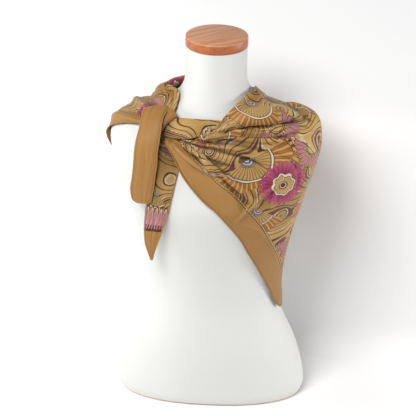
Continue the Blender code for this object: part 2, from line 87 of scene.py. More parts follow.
def lengthsAlong(points):  # distance from the first point, along the last but one axis
    steps = np.linalg.norm(np.diff(points, axis=-2), axis=-1)
    return np.concatenate([np.zeros(steps.shape[:-1] + (1,)), np.cumsum(steps, axis=-1)], axis=-1)


def linked(name, data):
    made = bpy.data.objects.new(name, data)
    bpy.context.scene.collection.objects.link(made)
    return made


def meshObject(name, points, faces, finish, uv=None, values=None):
    data = bpy.data.meshes.new(name)
    data.from_pydata(np.asarray(points).reshape(-1, 3).tolist(), [], np.asarray(faces).tolist())
    if uv is not None:
        layer = data.uv_layers.new(name="clothMap")
        corners = np.empty(len(data.loops), int)
        data.loops.foreach_get("vertex_index", corners)
        layer.data.foreach_set("uv", np.asarray(uv, float).reshape(-1, 2)[corners].ravel())
    for key, value in (values or {}).items():
        data.attributes.new(key, "FLOAT", "POINT").data.foreach_set("value", np.ravel(value))
    data.shade_smooth()
    if finish:
        data.materials.append(finish)
    return linked(name, data)


def mended(made, change):  # its mesh after one change, with every face turned outwards
    mesh = bmesh.new()
    mesh.from_mesh(made.data)
    change(mesh)
    bmesh.ops.recalc_face_normals(mesh, faces=mesh.faces)
    mesh.to_mesh(made.data)
    mesh.free()


def gridFaces(columns, lines, closed=False):  # quads between neighbouring columns of points
    i = np.arange(columns if closed else columns - 1)[:, None]
    j = np.arange(lines - 1)[None, :]
    a, b = i * lines + j, ((i + 1) % columns) * lines + j
    return np.stack([a, a + 1, b + 1, b], -1).reshape(-1, 4)


def thickened(cloth, wall):
    solid = cloth.modifiers.new("Wall", "SOLIDIFY")
    solid.thickness = wall
    solid.offset = 0
    solid.use_even_offset = False
    return cloth


# The dress form

formShape = {
    "sides": 144, "rows": 150, "creaseAngle": 40, "probeSides": 132, "probeRows": 108, "tapeSteps": 361,
    # Each ring: mm up at its side, front and back, mm out at its side, front and back, and how square it is.
    "rings": [
        ("neckTop",     684, 684, 684,  56.3, 56.3, 56.3,    2),
        ("neckMid",     642, 640, 644,    56,   56,   56,    2),
        ("neckLow",     612, 600, 615,    59,   59,   58,    2),
        ("neckFlare",   588, 568, 592,    74,   68,   64,    2),
        ("shoulderIn",  567, 546, 572,   104,   79,   74, 2.10),
        ("shoulderMid", 555, 525, 552,   140,   91,   82, 2.20),
        ("shoulderOut", 545, 503, 532,   170,  102,   90, 2.25),
        ("shoulderTip", 528, 480, 512,   187,  111,   95, 2.30),
        ("armUpper",    502, 456, 487, 191.5,  117,   98, 2.30),
        ("armLower",    465, 430, 455, 183.5,  122,  100, 2.30),
        ("bust",        398, 395, 400, 162.5,  125,  102, 2.30),
        ("underBust",   330, 330, 330, 142.5,  108,   98, 2.30),
        ("waistTop",    255, 255, 255,   126,   92,   90, 2.30),
        ("waist",       190, 190, 190,   120,   86,   87, 2.30),
        ("highHip",     142, 142, 142,   135,   91,   98, 2.30),
        ("hipMid",       95,  95,  95,   156,   98,  108, 2.30),
        ("hip",          50,  50,  50,   169,  101,  110, 2.30),
        ("hipLow",       18,  18,  18,   174,  102,  111, 2.30),
        ("baseEdge",    3.3, 3.3, 3.3,   170,  100,  109, 2.30),
    ],
}


def roundedSquare(angle, width, front, back, square):  # square 2 is an ellipse, and more squares it off
    c, s = np.cos(angle), np.sin(angle)
    x = width * np.sign(c) * np.abs(c) ** (2 / square)
    y = np.where(s < 0, front, back) * np.sign(s) * np.abs(s) ** (2 / square)
    return x, y


def formPoint(angle, level):  # angle in radians, level counted in rings
    angle, level = np.broadcast_arrays(np.asarray(angle, float), np.asarray(level, float))
    values = spline([ring[1:] for ring in formShape["rings"]], level)
    side, front, back, width, frontDepth, backDepth, square = np.moveaxis(values, -1, 0)
    x, y = roundedSquare(angle, width, frontDepth, backDepth, square)
    c, s = np.cos(angle), np.sin(angle)
    z = side * c * c + np.where(s < 0, front, back) * s * s
    return np.stack([x, y, z], -1) * mm


def formSurface(across, along):  # facets whose nearest point can be asked for
    angles = np.linspace(0, 2 * math.pi, across, endpoint=False)
    levels = np.linspace(0, len(formShape["rings"]) - 1, along)
    points = formPoint(angles[:, None], levels[None, :])
    faces = gridFaces(across, along, closed=True)
    return BVHTree.FromPolygons(points.reshape(-1, 3).tolist(), faces.tolist())


class Tape:  # turns an angle round the form and a tape distance down it into a point near its surface
    def __init__(self):
        self.levels = np.linspace(0, len(formShape["rings"]) - 1, formShape["tapeSteps"])
        self.angles = np.radians(np.arange(361))
        self.down = lengthsAlong(formPoint(self.angles[:, None], self.levels[None, :]))

    def level(self, angle, down):
        turn = angle % 360
        first = int(turn)
        near = np.interp(down * mm, self.down[first], self.levels)
        far = np.interp(down * mm, self.down[first + 1], self.levels)
        return near + (far - near) * (turn - first)

    def points(self, angle, down, lift):
        angle, down, lift = (np.asarray(v, float) for v in np.broadcast_arrays(angle, down, lift))
        levels = np.array([self.level(a, d) for a, d in zip(angle.flat, down.flat)]).reshape(angle.shape)
        turn = np.radians(angle)
        small = 1e-3
        around = formPoint(turn + small, levels) - formPoint(turn - small, levels)
        downward = formPoint(turn, levels + small) - formPoint(turn, levels - small)
        return formPoint(turn, levels) + unit(np.cross(downward, around)) * lift[..., None] * mm


tape = Tape()
bareForm = formSurface(formShape["probeSides"], formShape["probeRows"])


def pushedOut(points, clearance, soft=0.8, reach=4):  # each point too near the form, or in it, moves out
    shape = points.shape
    points = points.reshape(-1, 3).copy()
    for index, place in enumerate(points):
        place = Vector(place)
        nearest, outward, _, _ = bareForm.find_nearest(place)
        spare = ((place - nearest).dot(outward) / mm - clearance) / soft
        if spare < reach:  # further out, the softened push is nothing
            points[index] = nearest + outward * (clearance + soft * math.log1p(math.exp(spare))) * mm
    return points.reshape(shape)


# The part of the scarf that goes round the shoulders

capeShape = {
    "wall": 0.6, "columnSteps": 4, "baseLines": 36, "crowding": 1.25, "relaxRounds": 40, "clearance": 3.0,
    # Where the neckline and the hem pass: degrees, tape, mm clear of the form. Then the two pleats below the
    # neckline: how far down each lies and how far it is folded, and how many columns reach the next row.
    "rows": [
        # The neckline's angle, tape and lift, the hem's, the roll's place and size, the tongue's, the columns.
        ("knotFront",    229.5, 150, 2.8, 234.5, 180, 2.8,    8,    0,  17,   0, 2),
        ("underBand",      242, 151, 2.8, 245.5, 197, 3.5,    9,    0,  18,   0, 3),
        ("flap",           253, 151, 2.8,   252, 211,   4,    9,    0,  19,   0, 3),
        ("bandFoot",       263, 150,   4,   259, 237,   4,    9,  0.1,  18, 0.1, 3),
        ("rollTip",        271, 138,   6,   267, 268,   4,   11, 0.35,  20, 0.7, 4),
        ("throat",         286, 116,  10,   277, 307, 4.5,   26,    1,  37,   1, 4),
        ("collarbone",     304,  97,  10,   288, 358,   5,   42,    1,  60,   1, 3),
        ("neckTurn",       317,  89,  10,   295, 396,   5,   56,    1,  78,   1, 3),
        ("neckSide",       329,  82,   8,   303, 434,   5, 72.5,    1,  95, 0.9, 3),
        ("neckBack",       340,  83,   8,   312, 473,   5, 82.5,  0.9, 106, 0.6, 3),
        ("shoulderSeam",   351,  83, 8.5,   322, 512,   5, 94.5,  0.6, 116, 0.3, 3),
        ("tipFront",       362,  85,   9,   337, 564,   6,  108,  0.2, 118, 0.2, 3),
        ("apex",           372,  90, 7.5,   349, 594,   9,  113,    0, 130,   0, 3),
        ("tipBack",        381, 108,   4,   364, 574,   9,  106,    0, 130,   0, 2),
        ("hipBack",        391, 117, 3.5,   378, 545,   6,   96,    0, 124,   0, 2),
        ("waistBack",      405, 117, 3.5,   403, 491,   7,   82,  0.1, 112,   0, 2),
        ("smallOfBack",    424, 106, 4.5,   428, 436,   9,   66,  0.4,  98,   0, 2),
        ("nape",           448,  91,   7,   452, 385,   9,   51,  0.6,  84,   0, 2),
        ("blade",          476,  79,  10,   478, 358,   7,   42,  0.4,  76,   0, 2),
        ("backLeft",       503,  86,  14,   502, 340,   8,   38,  0.1,  74,   0, 3),
        ("gapeBack",       518,  87,  19,   514, 320,  10,   36,    0,  72,   0, 4),
        ("gape",           529, 102,  25,   525, 299,  12,   34,    0,  70,   0, 4),
        ("gapeFront",      543, 105,  20,   538, 262,   9,   34,    0,  70,   0, 4),
        ("collarSide",     556,  88,  12,   548, 237,   6,   32,    0,  68,   0, 3),
        ("collarFront",    567,  94,   9,   559, 216,   4,   25,    0,  54,   0, 3),
        ("collarFoot",     577, 116,   5,   571, 191,   3,   16,    0,  36,   0, 3),
        ("knotRear",       585, 136, 2.8,   584, 165, 2.8,    8,    0,  16,   0, 0),
    ],
    # Each fold is a ridge along a path over the form; a negative height is a trough.
    "folds": [
        # height, width above, width below, path as (angle, down)
        ("flapRidge",     10, 10, 45, [(240, 170), (249, 180), (258, 187), (267, 199), (276, 245), (285, 300)]),
        ("shoulderCap",   13, 21, 24, [(386, 172), (376, 182), (368, 193), (363, 206), (360, 220), (356, 236)]),
        ("neckSag",      -16, 20, 22, [(346, 122), (360, 130), (376, 138), (392, 140), (412, 132)]),
        ("shoulderPull",   3, 20, 22, [(300, 205), (318, 232), (336, 290), (345, 360)]),
        ("backSwag1",     11, 20, 15, [(508, 132), (484, 144), (452, 175), (415, 195), (385, 185)]),
        ("backSwag2",     12, 24, 17, [(504, 185), (482, 215), (452, 250), (415, 290), (385, 295)]),
        ("backSwag3",     11, 26, 19, [(504, 238), (482, 274), (452, 322), (425, 370), (400, 400)]),
        ("collarRoll",     8, 30, 18, [(584, 144), (572, 132), (556, 128), (540, 126), (516, 120), (495, 100)]),
        ("collarValley",  -7, 11, 11, [(578, 152), (566, 150), (552, 150), (538, 152), (522, 158), (506, 160)]),
        ("lobe",           9, 12, 12, [(582, 160), (566, 158), (552, 162), (538, 172), (522, 186), (508, 200)]),
        ("lobeValley",    -5, 11, 11, [(578, 166), (564, 168), (550, 180), (536, 196), (522, 206)]),
        ("armFold",        6, 12, 14, [(580, 172), (568, 188), (556, 203), (540, 222), (526, 240)]),
    ],
    # Fine creases, laid over the finished sheet in the same way.
    "creases": [
        ("knotRidge",       10,  8,  4, [(240, 171), (250, 169), (262, 169), (273, 171), (284, 179), (296, 196)]),
        ("pocket",        -6.5,  5,  7, [(240, 178), (250, 180), (260, 187), (270, 195), (282, 210)]),
        ("pocketRidge",      9, 10,  5, [(244, 180), (255, 192), (265, 205), (275, 226), (286, 262), (296, 300)]),
        ("flapCrease",    -3.5,  3,  4, [(240, 188), (246, 195), (252, 207), (257, 226), (262, 246)]),
        ("facet1",           5,  8,  5, [(276, 150), (286, 158), (298, 172), (312, 190), (326, 215)]),
        ("facet2",          -4,  6,  4, [(272, 178), (284, 192), (294, 215), (300, 245), (306, 285)]),
        ("chestPull1",     4.5,  9,  6, [(272, 186), (284, 200), (296, 228), (304, 270), (308, 320)]),
        ("chestPull2",      -3,  8,  6, [(288, 176), (300, 196), (312, 226), (322, 270), (328, 330)]),
        ("diagonalPull",     6,  8,  4, [(322, 262), (308, 264), (298, 280), (290, 300), (284, 318)]),
        ("shoulderPull2",  2.4,  8,  9, [(312, 150), (322, 171), (326, 207), (324, 243), (318, 290)]),
        ("shoulderPull3",   -2,  8,  9, [(322, 150), (338, 185), (350, 240), (354, 320)]),
        ("seamPull",       1.3,  8, 10, [(338, 132), (350, 165), (362, 215), (368, 280)]),
        ("rollPull1",      0.9,  5,  5, [(274, 140), (288, 126), (304, 112), (318, 108)]),
        ("rollPull2",      0.8,  5,  5, [(290, 134), (304, 124), (320, 124), (334, 130)]),
        ("borderPull",     1.8,  8,  5, [(284, 318), (300, 352), (318, 420), (332, 480)]),
        ("collarCrease1", -2.4,  5,  6, [(578, 128), (570, 118), (562, 108), (552, 104), (540, 106)]),
        ("collarCrease2",  1.8,  6,  6, [(580, 138), (568, 134), (554, 118), (540, 116), (524, 116)]),
        ("bandCrease",    -1.8,  5,  6, [(572, 182), (562, 198), (548, 214), (536, 232)]),
        ("backPull1",      1.6, 12, 12, [(500, 160), (470, 180), (440, 212), (412, 240)]),
        ("backPull2",      1.6, 12, 12, [(500, 210), (470, 240), (440, 285), (415, 330)]),
        ("backPull3",     -1.4, 10, 10, [(494, 120), (470, 130), (440, 150), (408, 160)]),
    ],
    # How near a fold's path its lift is full, and how far from it none is left, so that none acts through the form.
    "foldPath": {"samples": 60, "lift": 4.0, "fullWithin": 60, "goneAt": 95, "endTaper": 0.6},
    # The stretches that swell: how many lines, mm proud, how far down the crown sits, and how late it sinks.
    "rise": (6, 12.0, 1.6, 1.5), "lap": (3, 6.0, 1.4, 1.0),
    "rollHeight": 5.0, "tongueHeight": 4.0, "skirtLines": 12, "flatSpread": 0.9,
    "pleatStep": [(-2.5, 1), (-1, 0.9), (0, 0.7), (0.8, 0.5), (1.6, 0.3), (2.4, 0.1), (4, 0)],
    "pleatUnder": [(0, 1), (1.4, 0.75), (0, 0.5), (-6, 0.5), (-7.4, 0.25), (-6, 0), (1, 0)],
    "creaseFlat": [(0, 0), (0.9, 0), (1.8, 0), (2.7, 0)],
    "creaseStep": [(0, -2.6), (0.9, -2.4), (1.8, -1.2), (2.7, 0)],
    "creaseTurned": [(5, -2.6), (1.5, -2.6), (-0.4, -1.3), (1.5, 0)],
    "creaseRolled": [(18, -14), (7, -13), (-1.5, -7), (4.5, 0)],
    # A higher neckline turns over further: its lift, and the share of the way from flat to rolled.
    "creaseLifts": ([3.5, 8.0, 16.0], [0, 0.667, 1]),
    # The painted shade in each stretch from its first line to its last, and painted highlight where it is below 0.
    "shades": {
        "crease": [1.0, 0.7, 0.0, 0.0], "rise": [0, -0.4, -0.5, -0.3, 0.4], "roll": [0.6, 1, 1, 1, 0.9],
        "lap": [0.75, 0.35, 0.1], "tongue": [0.2, 0.9, 1, 1, 0.8], "skirt": [0.35, 0.05] + [0] * 10,
    },
    # Rounds of smoothing, lines counted from the neckline, and mm.
    "normalRounds": 12, "calm": {"rounds": 16, "until": 22, "over": 10}, "creasesFrom": {"line": 8, "over": 8},
    "creaseClearance": 1.3, "creaseSoftness": 0.3,
    "hollow": {"rounds": 30, "depth": 3.0, "light": -0.3, "dark": 0.8, "least": -0.6},
    # How finely each stretch between two of a column's lines is divided.
    "fineSteps": {"crease": 3, "rise": 4, "roll": 3, "lap": 3, "tongue": 3, "skirt": 7},
}


def drawnTaut(points):  # between its edges over the form, like cloth under a light pull
    across = 1 / (np.linalg.norm(np.diff(points, axis=0), axis=-1, keepdims=True) + mm)
    along = 1 / (np.linalg.norm(np.diff(points, axis=1), axis=-1, keepdims=True) + mm)
    pulls = across[:-1, 1:-1], across[1:, 1:-1], along[1:-1, :-1], along[1:-1, 1:]
    for _ in range(capeShape["relaxRounds"]):
        around = points[:-2, 1:-1], points[2:, 1:-1], points[1:-1, :-2], points[1:-1, 2:]
        points[1:-1, 1:-1] = sum(p * w for p, w in zip(around, pulls)) / sum(pulls)
        points = pushedOut(points, capeShape["clearance"])
    return points


def foldHeights(points, outward, folds):  # how far the folds lift or sink each point
    total = np.zeros(points.shape[:2])
    path = capeShape["foldPath"]
    samples = path["samples"]
    for _, height, above, below, course in folds:
        spots = spline(course, np.linspace(0, len(course) - 1, samples))
        line = tape.points(spots[:, 0], spots[:, 1], np.full(samples, path["lift"]))
        heading = unit(np.gradient(line, axis=0))
        nearest = np.zeros(points.shape[:2], int)
        best = np.full(points.shape[:2], np.inf)
        for index, spot in enumerate(line):
            away = ((points - spot) ** 2).sum(-1)
            closer = away < best
            best[closer], nearest[closer] = away[closer], index
        offset = points - line[nearest]
        heading = heading[nearest]
        sideways = unit(np.cross(outward, heading))
        side = (offset * sideways).sum(-1) / mm
        past = np.abs((offset * heading).sum(-1)) / mm
        downhill = np.sign((sideways * np.array([0, 0, -1])).sum(-1)) * side
        width = np.where(downhill > 0, below, above)
        fade = np.sin(math.pi * nearest / (samples - 1)) ** path["endTaper"]
        fade = fade * between(path["goneAt"], path["fullWithin"], np.sqrt(best) / mm)
        total += height * hump(side / width) * hump(past / (above + below)) * fade
    return total * mm


def sized(forms, size):  # a crease's lines, passing from one of its forms to the next as size goes from 0 to 1
    return spline(forms, np.array(np.clip(size, 0, 1) * (len(forms) - 1)))


def pleat(place, size, height, ground, room):
    count = len(capeShape["pleatStep"])
    flat = np.stack([np.linspace(-0.5, 0.5, count) * capeShape["flatSpread"] * room, np.zeros(count)], -1)
    lines = sized([flat, capeShape["pleatStep"], capeShape["pleatUnder"]], size)
    return lines * (1, height) + (place, ground)


def withShade(lines, values, size):  # each line's share of the painted shade that gathers in the pleats
    values = np.interp(np.linspace(0, 1, len(lines)), np.linspace(0, 1, len(values)), values)
    return np.column_stack([lines, values * np.clip(size, 0, 1)])


def swelling(first, last, key, size):  # the lines from one pleat to the next, proud in between
    count, crown, lean, sink = capeShape[key]
    share = np.linspace(0, 1, count + 2)[1:-1]
    lines = first + (last - first) * np.stack([share, share**sink], -1)
    lines[:, 1] += crown * np.clip(size, 0, 1) * np.sin(math.pi * share**lean)
    return lines


def columnProfile(row, length):  # mm from the neckline, mm proud of the sheet and painted shade, for each stretch's lines
    neckLift, rollAt, rollSize, tongueAt, tongueSize = row[2], *row[6:10]
    forms = [capeShape[key] for key in ("creaseFlat", "creaseStep", "creaseTurned", "creaseRolled")]
    crease = sized(forms, np.interp(neckLift, *capeShape["creaseLifts"]))
    room = tongueAt - rollAt
    tongue = pleat(tongueAt, tongueSize, capeShape["tongueHeight"], 0, room)
    roll = pleat(rollAt, rollSize, capeShape["rollHeight"], tongue[0, 1], room)
    share = np.linspace(0, 1, capeShape["skirtLines"] + 1)[1:, None] ** capeShape["crowding"]
    stretches = {
        "crease": (crease, 1), "rise": (swelling(crease[-1], roll[0], "rise", rollSize), rollSize),
        "roll": (roll, rollSize), "lap": (swelling(roll[-1], tongue[0], "lap", tongueSize), rollSize),
        "tongue": (tongue, tongueSize), "skirt": (tongue[-1] + ((length, 0) - tongue[-1]) * share, tongueSize),
    }
    return {key: withShade(lines, capeShape["shades"][key], size) for key, (lines, size) in stretches.items()}


def curvedLine(points, steps):  # finer points on a smooth curve through uneven ones
    chord = np.sqrt(np.linalg.norm(np.diff(points, axis=0), axis=-1)) + 1e-6
    knots = np.concatenate([[0], np.cumsum(chord)])
    slopes = np.gradient(points, knots, axis=0)
    made = [points[:1]]
    for index, count in enumerate(steps):
        t = (np.arange(1, count + 1) / count)[:, None]
        span = knots[index + 1] - knots[index]
        a, b = points[index], points[index + 1]
        made.append(a * (2 * t**3 - 3 * t**2 + 1) + slopes[index] * span * (t**3 - 2 * t**2 + t)
                    + b * (3 * t**2 - 2 * t**3) + slopes[index + 1] * span * (t**3 - t**2))
    return np.concatenate(made)


def laid(column, normals, start, profile):  # a column's lines: mm along the column, and mm out from it
    place = np.interp(profile[:, 0] * mm, lengthsAlong(column), np.arange(len(column)))
    before = np.minimum(profile[:, :1], 0) * mm * start
    return spline(column, place) + before + unit(spline(normals, place)) * profile[:, 1:2] * mm


def capePoints():
    table = capeShape["rows"]
    places = [i + k / row[-1] for i, row in enumerate(table) for k in range(row[-1])] + [len(table) - 1]
    rows = spline([row[1:-1] for row in table], np.array(places))
    neck, hem = rows[:, None, :3], rows[:, None, 3:6]
    share = np.linspace(0, 1, capeShape["baseLines"])[None, :, None] ** capeShape["crowding"]
    share = np.concatenate([share, share, 1 - (1 - share) ** 2], axis=-1)
    sheet = drawnTaut(tape.points(*np.moveaxis(neck + (hem - neck) * share, -1, 0)))
    outward = outwardOf(sheet)
    sheet = sheet + outward * foldHeights(sheet, outward, capeShape["folds"])[..., None]
    sheet = pushedOut(sheet, capeShape["clearance"])

    fine = np.linspace(0, len(rows) - 1, (len(rows) - 1) * capeShape["columnSteps"] + 1)
    columns, shade = [], []
    sheet, rows = spline(sheet, fine), spline(rows, fine)
    rounds = capeShape["normalRounds"]
    outward, starts = blurred(outwardOf(sheet), rounds), unit(blurred(sheet[:, 1] - sheet[:, 0], rounds))
    for row, column, normals, start in zip(rows, sheet, outward, starts):
        stretches = columnProfile(row, lengthsAlong(column)[-1] / mm)
        steps = [capeShape["fineSteps"][key] for key, lines in stretches.items() for _ in lines][1:]
        profile = curvedLine(np.concatenate(list(stretches.values())), steps)
        columns.append(laid(column, normals, start, profile))
        shade.append(profile[:, 2])
    points = np.array(columns)
    line = np.arange(points.shape[1])
    calm = capeShape["calm"]  # no ripples along the neckline
    share = np.clip((calm["until"] - line) / calm["over"], 0, 1)[None, :, None]
    points += (blurred(points, calm["rounds"]) - points) * share
    outward = outwardOf(points)
    clear = np.clip((line - capeShape["creasesFrom"]["line"]) / capeShape["creasesFrom"]["over"], 0, 1)[None, :]
    points = points + outward * (foldHeights(points, outward, capeShape["creases"]) * clear)[..., None]
    points = pushedOut(points, capeShape["creaseClearance"], capeShape["creaseSoftness"])
    hollow = capeShape["hollow"]  # painted shade where the cloth lies deeper than the cloth round it, and a painted highlight where it stands out
    smooth = blurred(blurred(points, hollow["rounds"]).swapaxes(0, 1), hollow["rounds"]).swapaxes(0, 1)
    depth = ((smooth - points) * outwardOf(smooth)).sum(-1) / mm / hollow["depth"]
    return points, np.clip(np.array(shade) + np.clip(depth, hollow["light"], hollow["dark"]), hollow["least"], 1)


# Ribbons of cloth: the band across the chest, the knot's loop and the two tails

stripShape = {
    "wall": 0.6, "foldRadius": 1.25, "foldSteps": 8, "rowSteps": 8, "frontSteps": 30, "hemStart": 4,
    "neckBand": [
        # lower edge, upper edge, bow
        ("knotEnd",      (-98,   -83,   541), (-87,   -67, 560), 1.5),
        ("gather",       (-80,   -91,   537), (-74,   -68, 565), 3.5),
        ("belly",        (-54,  -100,   538), (-55,   -69, 566),   5),
        ("chest",        (-37,  -100, 539.5), (-30, -71.8, 566), 4.5),
        ("collarbone",   (-22,   -94,   543), (-12, -72.8, 566), 2.5),
        ("tuck",       (-10.5,   -82,   546),   (3, -72.6, 566), 0.3),
        ("tuckEnd",        (1, -79.6, 550.5),  (17, -71.4, 565),   0),
    ],
    "knotLoop": [
        # inner edge, outer edge, bow
        ("back",   (-97, -52, 568), (-84, -50, 577), 0.5),
        ("rise",   (-93, -62, 571), (-75, -58, 579),   1),
        ("crown",  (-92, -72, 567), (-66, -68, 571),   2),
        ("brow",   (-96, -80, 560), (-74, -75, 564), 2.5),
        ("cheek", (-100, -87, 552), (-84, -83, 556),   2),
        ("foot",  (-103, -93, 543), (-90, -90, 546),   1),
        ("tuck",  (-105, -97, 535), (-95, -95, 536), 0.5),
    ],
    "tailLong": [
        # left edge, right edge, bow
        ("behind",    (-118,  -37,   573),    (-86,    -41,   579),   1),
        ("crown",     (-127,  -50,   573),    (-84,    -60,   577),   3),
        ("brow",      (-130,  -68,   562),    (-90,    -79,   569),   4),
        ("knot",      (-133,  -88,   547),  (-92.5,    -97,   552),   4),
        ("underKnot", (-137, -100,   530),  (-94.5,   -107,   534), 3.5),
        ("shoulder",  (-139, -106,   511),    (-97, -112.5,   515),   3),
        ("chest",     (-140, -109,   490),  (-97.5, -115.5,   493), 2.5),
        ("bust",      (-142, -111,   465), (-100.5,   -118,   468), 2.5),
        ("low",       (-145, -111,   444),   (-103,   -119,   446), 2.5),
        ("round1",    (-144, -111,   430), (-105.5,   -119,   432),   2),
        ("round2",    (-141, -112,   420),   (-108,   -119,   421), 1.5),
        ("end",       (-133, -114, 414.5), (-113.5,   -118, 415.5),   1),
    ],
    "tailPointed": [
        # left edge, right edge, bow
        ("inKnot",      (-102,    -88, 548),    (-88,    -86, 541), 0.8),
        ("underKnot",    (-99,    -98, 526),    (-80,  -92.5, 519),   1),
        ("spread",      (-101,   -103, 506),    (-67, -102.8, 502),   2),
        ("widest",      (-103,   -106, 486),    (-60,   -111, 483), 2.5),
        ("chest",       (-106,   -109, 458),    (-65,   -117, 456), 2.5),
        ("bust",        (-112,   -111, 429),    (-71,   -120, 426), 2.5),
        ("crease",      (-117,   -111, 402),    (-76,   -120, 401),   2),
        ("taper1",      (-119,   -110, 378),    (-82,   -118, 379), 1.5),
        ("taper2",    (-119.5, -109.5, 354),    (-89,   -116, 355),   1),
        ("taper3",      (-118,   -109, 333),    (-96,   -114, 333), 0.8),
        ("taper4",      (-113, -109.5, 316),   (-101,   -112, 316), 0.4),
        ("point",       (-107,   -111, 300), (-104.6,   -111, 299),   0),
    ],
}


def stripPoints(rows, backShare=0.0, pleats=()):  # front from the right edge to the left, then the part behind
    steps = stripShape["rowSteps"]
    values = [(*left, *right, bow) for _, left, right, bow in rows]
    smooth = spline(values, np.linspace(0, len(rows) - 1, (len(rows) - 1) * steps + 1)) * mm
    left, right, bow = smooth[:, None, :3], smooth[:, None, 3:6], smooth[:, None, 6:]
    heading = unit(np.gradient((smooth[:, :3] + smooth[:, 3:6]) / 2, axis=0))[:, None]
    across = unit(left - right)
    outward = unit(np.cross(heading, -across))
    radius = stripShape["foldRadius"] * mm
    t = np.linspace(0, 1, stripShape["frontSteps"])[None, :, None]
    along = np.linspace(0, 1, len(smooth))[:, None, None]
    proud = bow * np.sin(math.pi * t)
    for middle, slant, width, height in pleats:  # lengthwise creases: share across, drift, width, mm
        proud = proud + height * mm * hump((t - middle - slant * (along - 0.5)) / width) * np.sin(math.pi * t)
    parts = [right + (left - right) * t + outward * proud]
    if backShare:
        turn = np.radians(np.linspace(0, 180, stripShape["foldSteps"])[1:-1])[None, :, None]
        parts.append(left + (across * np.sin(turn) + outward * (np.cos(turn) - 1)) * radius)
        t = np.linspace(0, backShare, stripShape["frontSteps"] // 2)[None, :, None]
        parts.append(left + (right - left) * t + outward * (bow * np.sin(math.pi * t) - 2 * radius))
    return np.concatenate(parts, axis=1)


# Node trees

class Field:  # one socket's value, so that the maths of nodes reads as plain sums
    def __init__(self, finish, socket):
        self.finish, self.socket = finish, socket

    def __add__(self, other):
        return self.finish.maths("ADD", self, other)

    def __sub__(self, other):
        return self.finish.maths("SUBTRACT", self, other)

    def __rsub__(self, other):
        return self.finish.maths("SUBTRACT", other, self)

    def __mul__(self, other):
        return self.finish.maths("MULTIPLY", self, other)

    def __truediv__(self, other):
        return self.finish.maths("DIVIDE", self, other)

    def __pow__(self, other):
        return self.finish.maths("POWER", self, other)

    __radd__, __rmul__ = __add__, __mul__


class Nodes:  # a tree of nodes, and the calls that fill it
    def __init__(self, tree):
        self.tree = tree

    def plug(self, socket, value):
        if isinstance(value, Field):
            value = value.socket
        if isinstance(value, bpy.types.NodeSocket):
            self.tree.links.new(value, socket)
        elif isinstance(value, tuple) and len(value) == 3 and socket.type == "RGBA":
            socket.default_value = (*value, 1)
        else:
            socket.default_value = value

    def node(self, kind, settings=None, values=()):  # its settings first, then its sockets
        made = self.tree.nodes.new(kind)
        for key, value in (settings or {}).items():
            if key == "stops":
                for _ in range(len(value) - 2):
                    made.color_ramp.elements.new(0.5)
                for stop, (place, colour) in zip(made.color_ramp.elements, value):
                    stop.position, stop.color = place, (*colour, 1)
            else:
                setattr(made, key, value)
        for key, value in values.items() if isinstance(values, dict) else enumerate(values):
            self.plug(made.inputs[key], value)
        return made

    def first(self, kind, settings=None, values=()):  # a new node's first output
        return self.node(kind, settings, values).outputs[0]

    def maths(self, operation, *values):
        return Field(self, self.first("ShaderNodeMath", {"operation": operation}, values))


class Finish(Nodes):
    def __init__(self, name, roughness, **constants):
        self.made = bpy.data.materials.new(name)
        self.made.use_nodes = True
        super().__init__(self.made.node_tree)
        self.shader = self.tree.nodes["Principled BSDF"]
        self.shader.inputs["Roughness"].default_value = roughness
        for key, value in constants.items():
            self.plug(self.shader.inputs[key.replace("_", " ")], value)

    def vector(self, operation, *values, output=0):
        return self.node("ShaderNodeVectorMath", {"operation": operation}, values).outputs[output]

    def attribute(self, name):
        return Field(self, self.node("ShaderNodeAttribute", {"attribute_name": name}).outputs["Fac"])

    def inside(self):  # the place on the object, in metres
        return self.node("ShaderNodeTexCoord").outputs["Object"]

    def mapped(self, place, **sizes):
        return self.first("ShaderNodeMapping", {}, {"Vector": place} | sizes)

    def step(self, low, high, value):  # 0 at low, 1 at high, smooth in between
        return Field(self, self.first("ShaderNodeMapRange", {"interpolation_type": "SMOOTHSTEP"},
                                      {"Value": value, "From Min": low, "From Max": high}))

    def under(self, low, high, value):  # 1 up to low, 0 from high on
        return 1 - self.step(low, high, value)

    def mixed(self, share, first, second):
        return self.node("ShaderNodeMix", {"data_type": "RGBA"}, {0: share, 6: first, 7: second}).outputs[2]

    def noise(self, place, scale, detail=2.0, roughness=0.5):
        made = self.node("ShaderNodeTexNoise", {}, {"Vector": place, "Scale": scale, "Detail": detail,
                                                    "Roughness": roughness})
        return Field(self, made.outputs["Fac"])

    def split(self, vector):
        made = self.node("ShaderNodeSeparateXYZ", {}, [vector])
        return [Field(self, out) for out in made.outputs]

    def bump(self, height, strength, distance):
        made = self.first("ShaderNodeBump", {}, {"Strength": strength, "Distance": distance, "Height": height})
        self.plug(self.shader.inputs["Normal"], made)

    def colour(self, value):
        self.plug(self.shader.inputs["Base Color"], value)


def rgb(code):  # a colour as on a paint card, turned to Blender's linear values
    parts = [int(code[i:i + 2], 16) / 255 for i in (0, 2, 4)]
    return tuple(p / 12.92 if p <= 0.04045 else ((p + 0.055) / 1.055) ** 2.4 for p in parts)


# The rolled hem's sizes, in metres and radians, and how far its ends are folded under: metres in, metres along

hemShape = {
    "sizes": {"Roll radius": 0.0011, "Stitch spacing": 0.0052, "Stitch size": 0.00022, "Pinch": 0.22, "Step": 0.0011,
              "Slant": 0.5},
    "foldedUnder": [(0.017, 0.10), (0.032, 0.15)], "foldReach": 0.3,
}
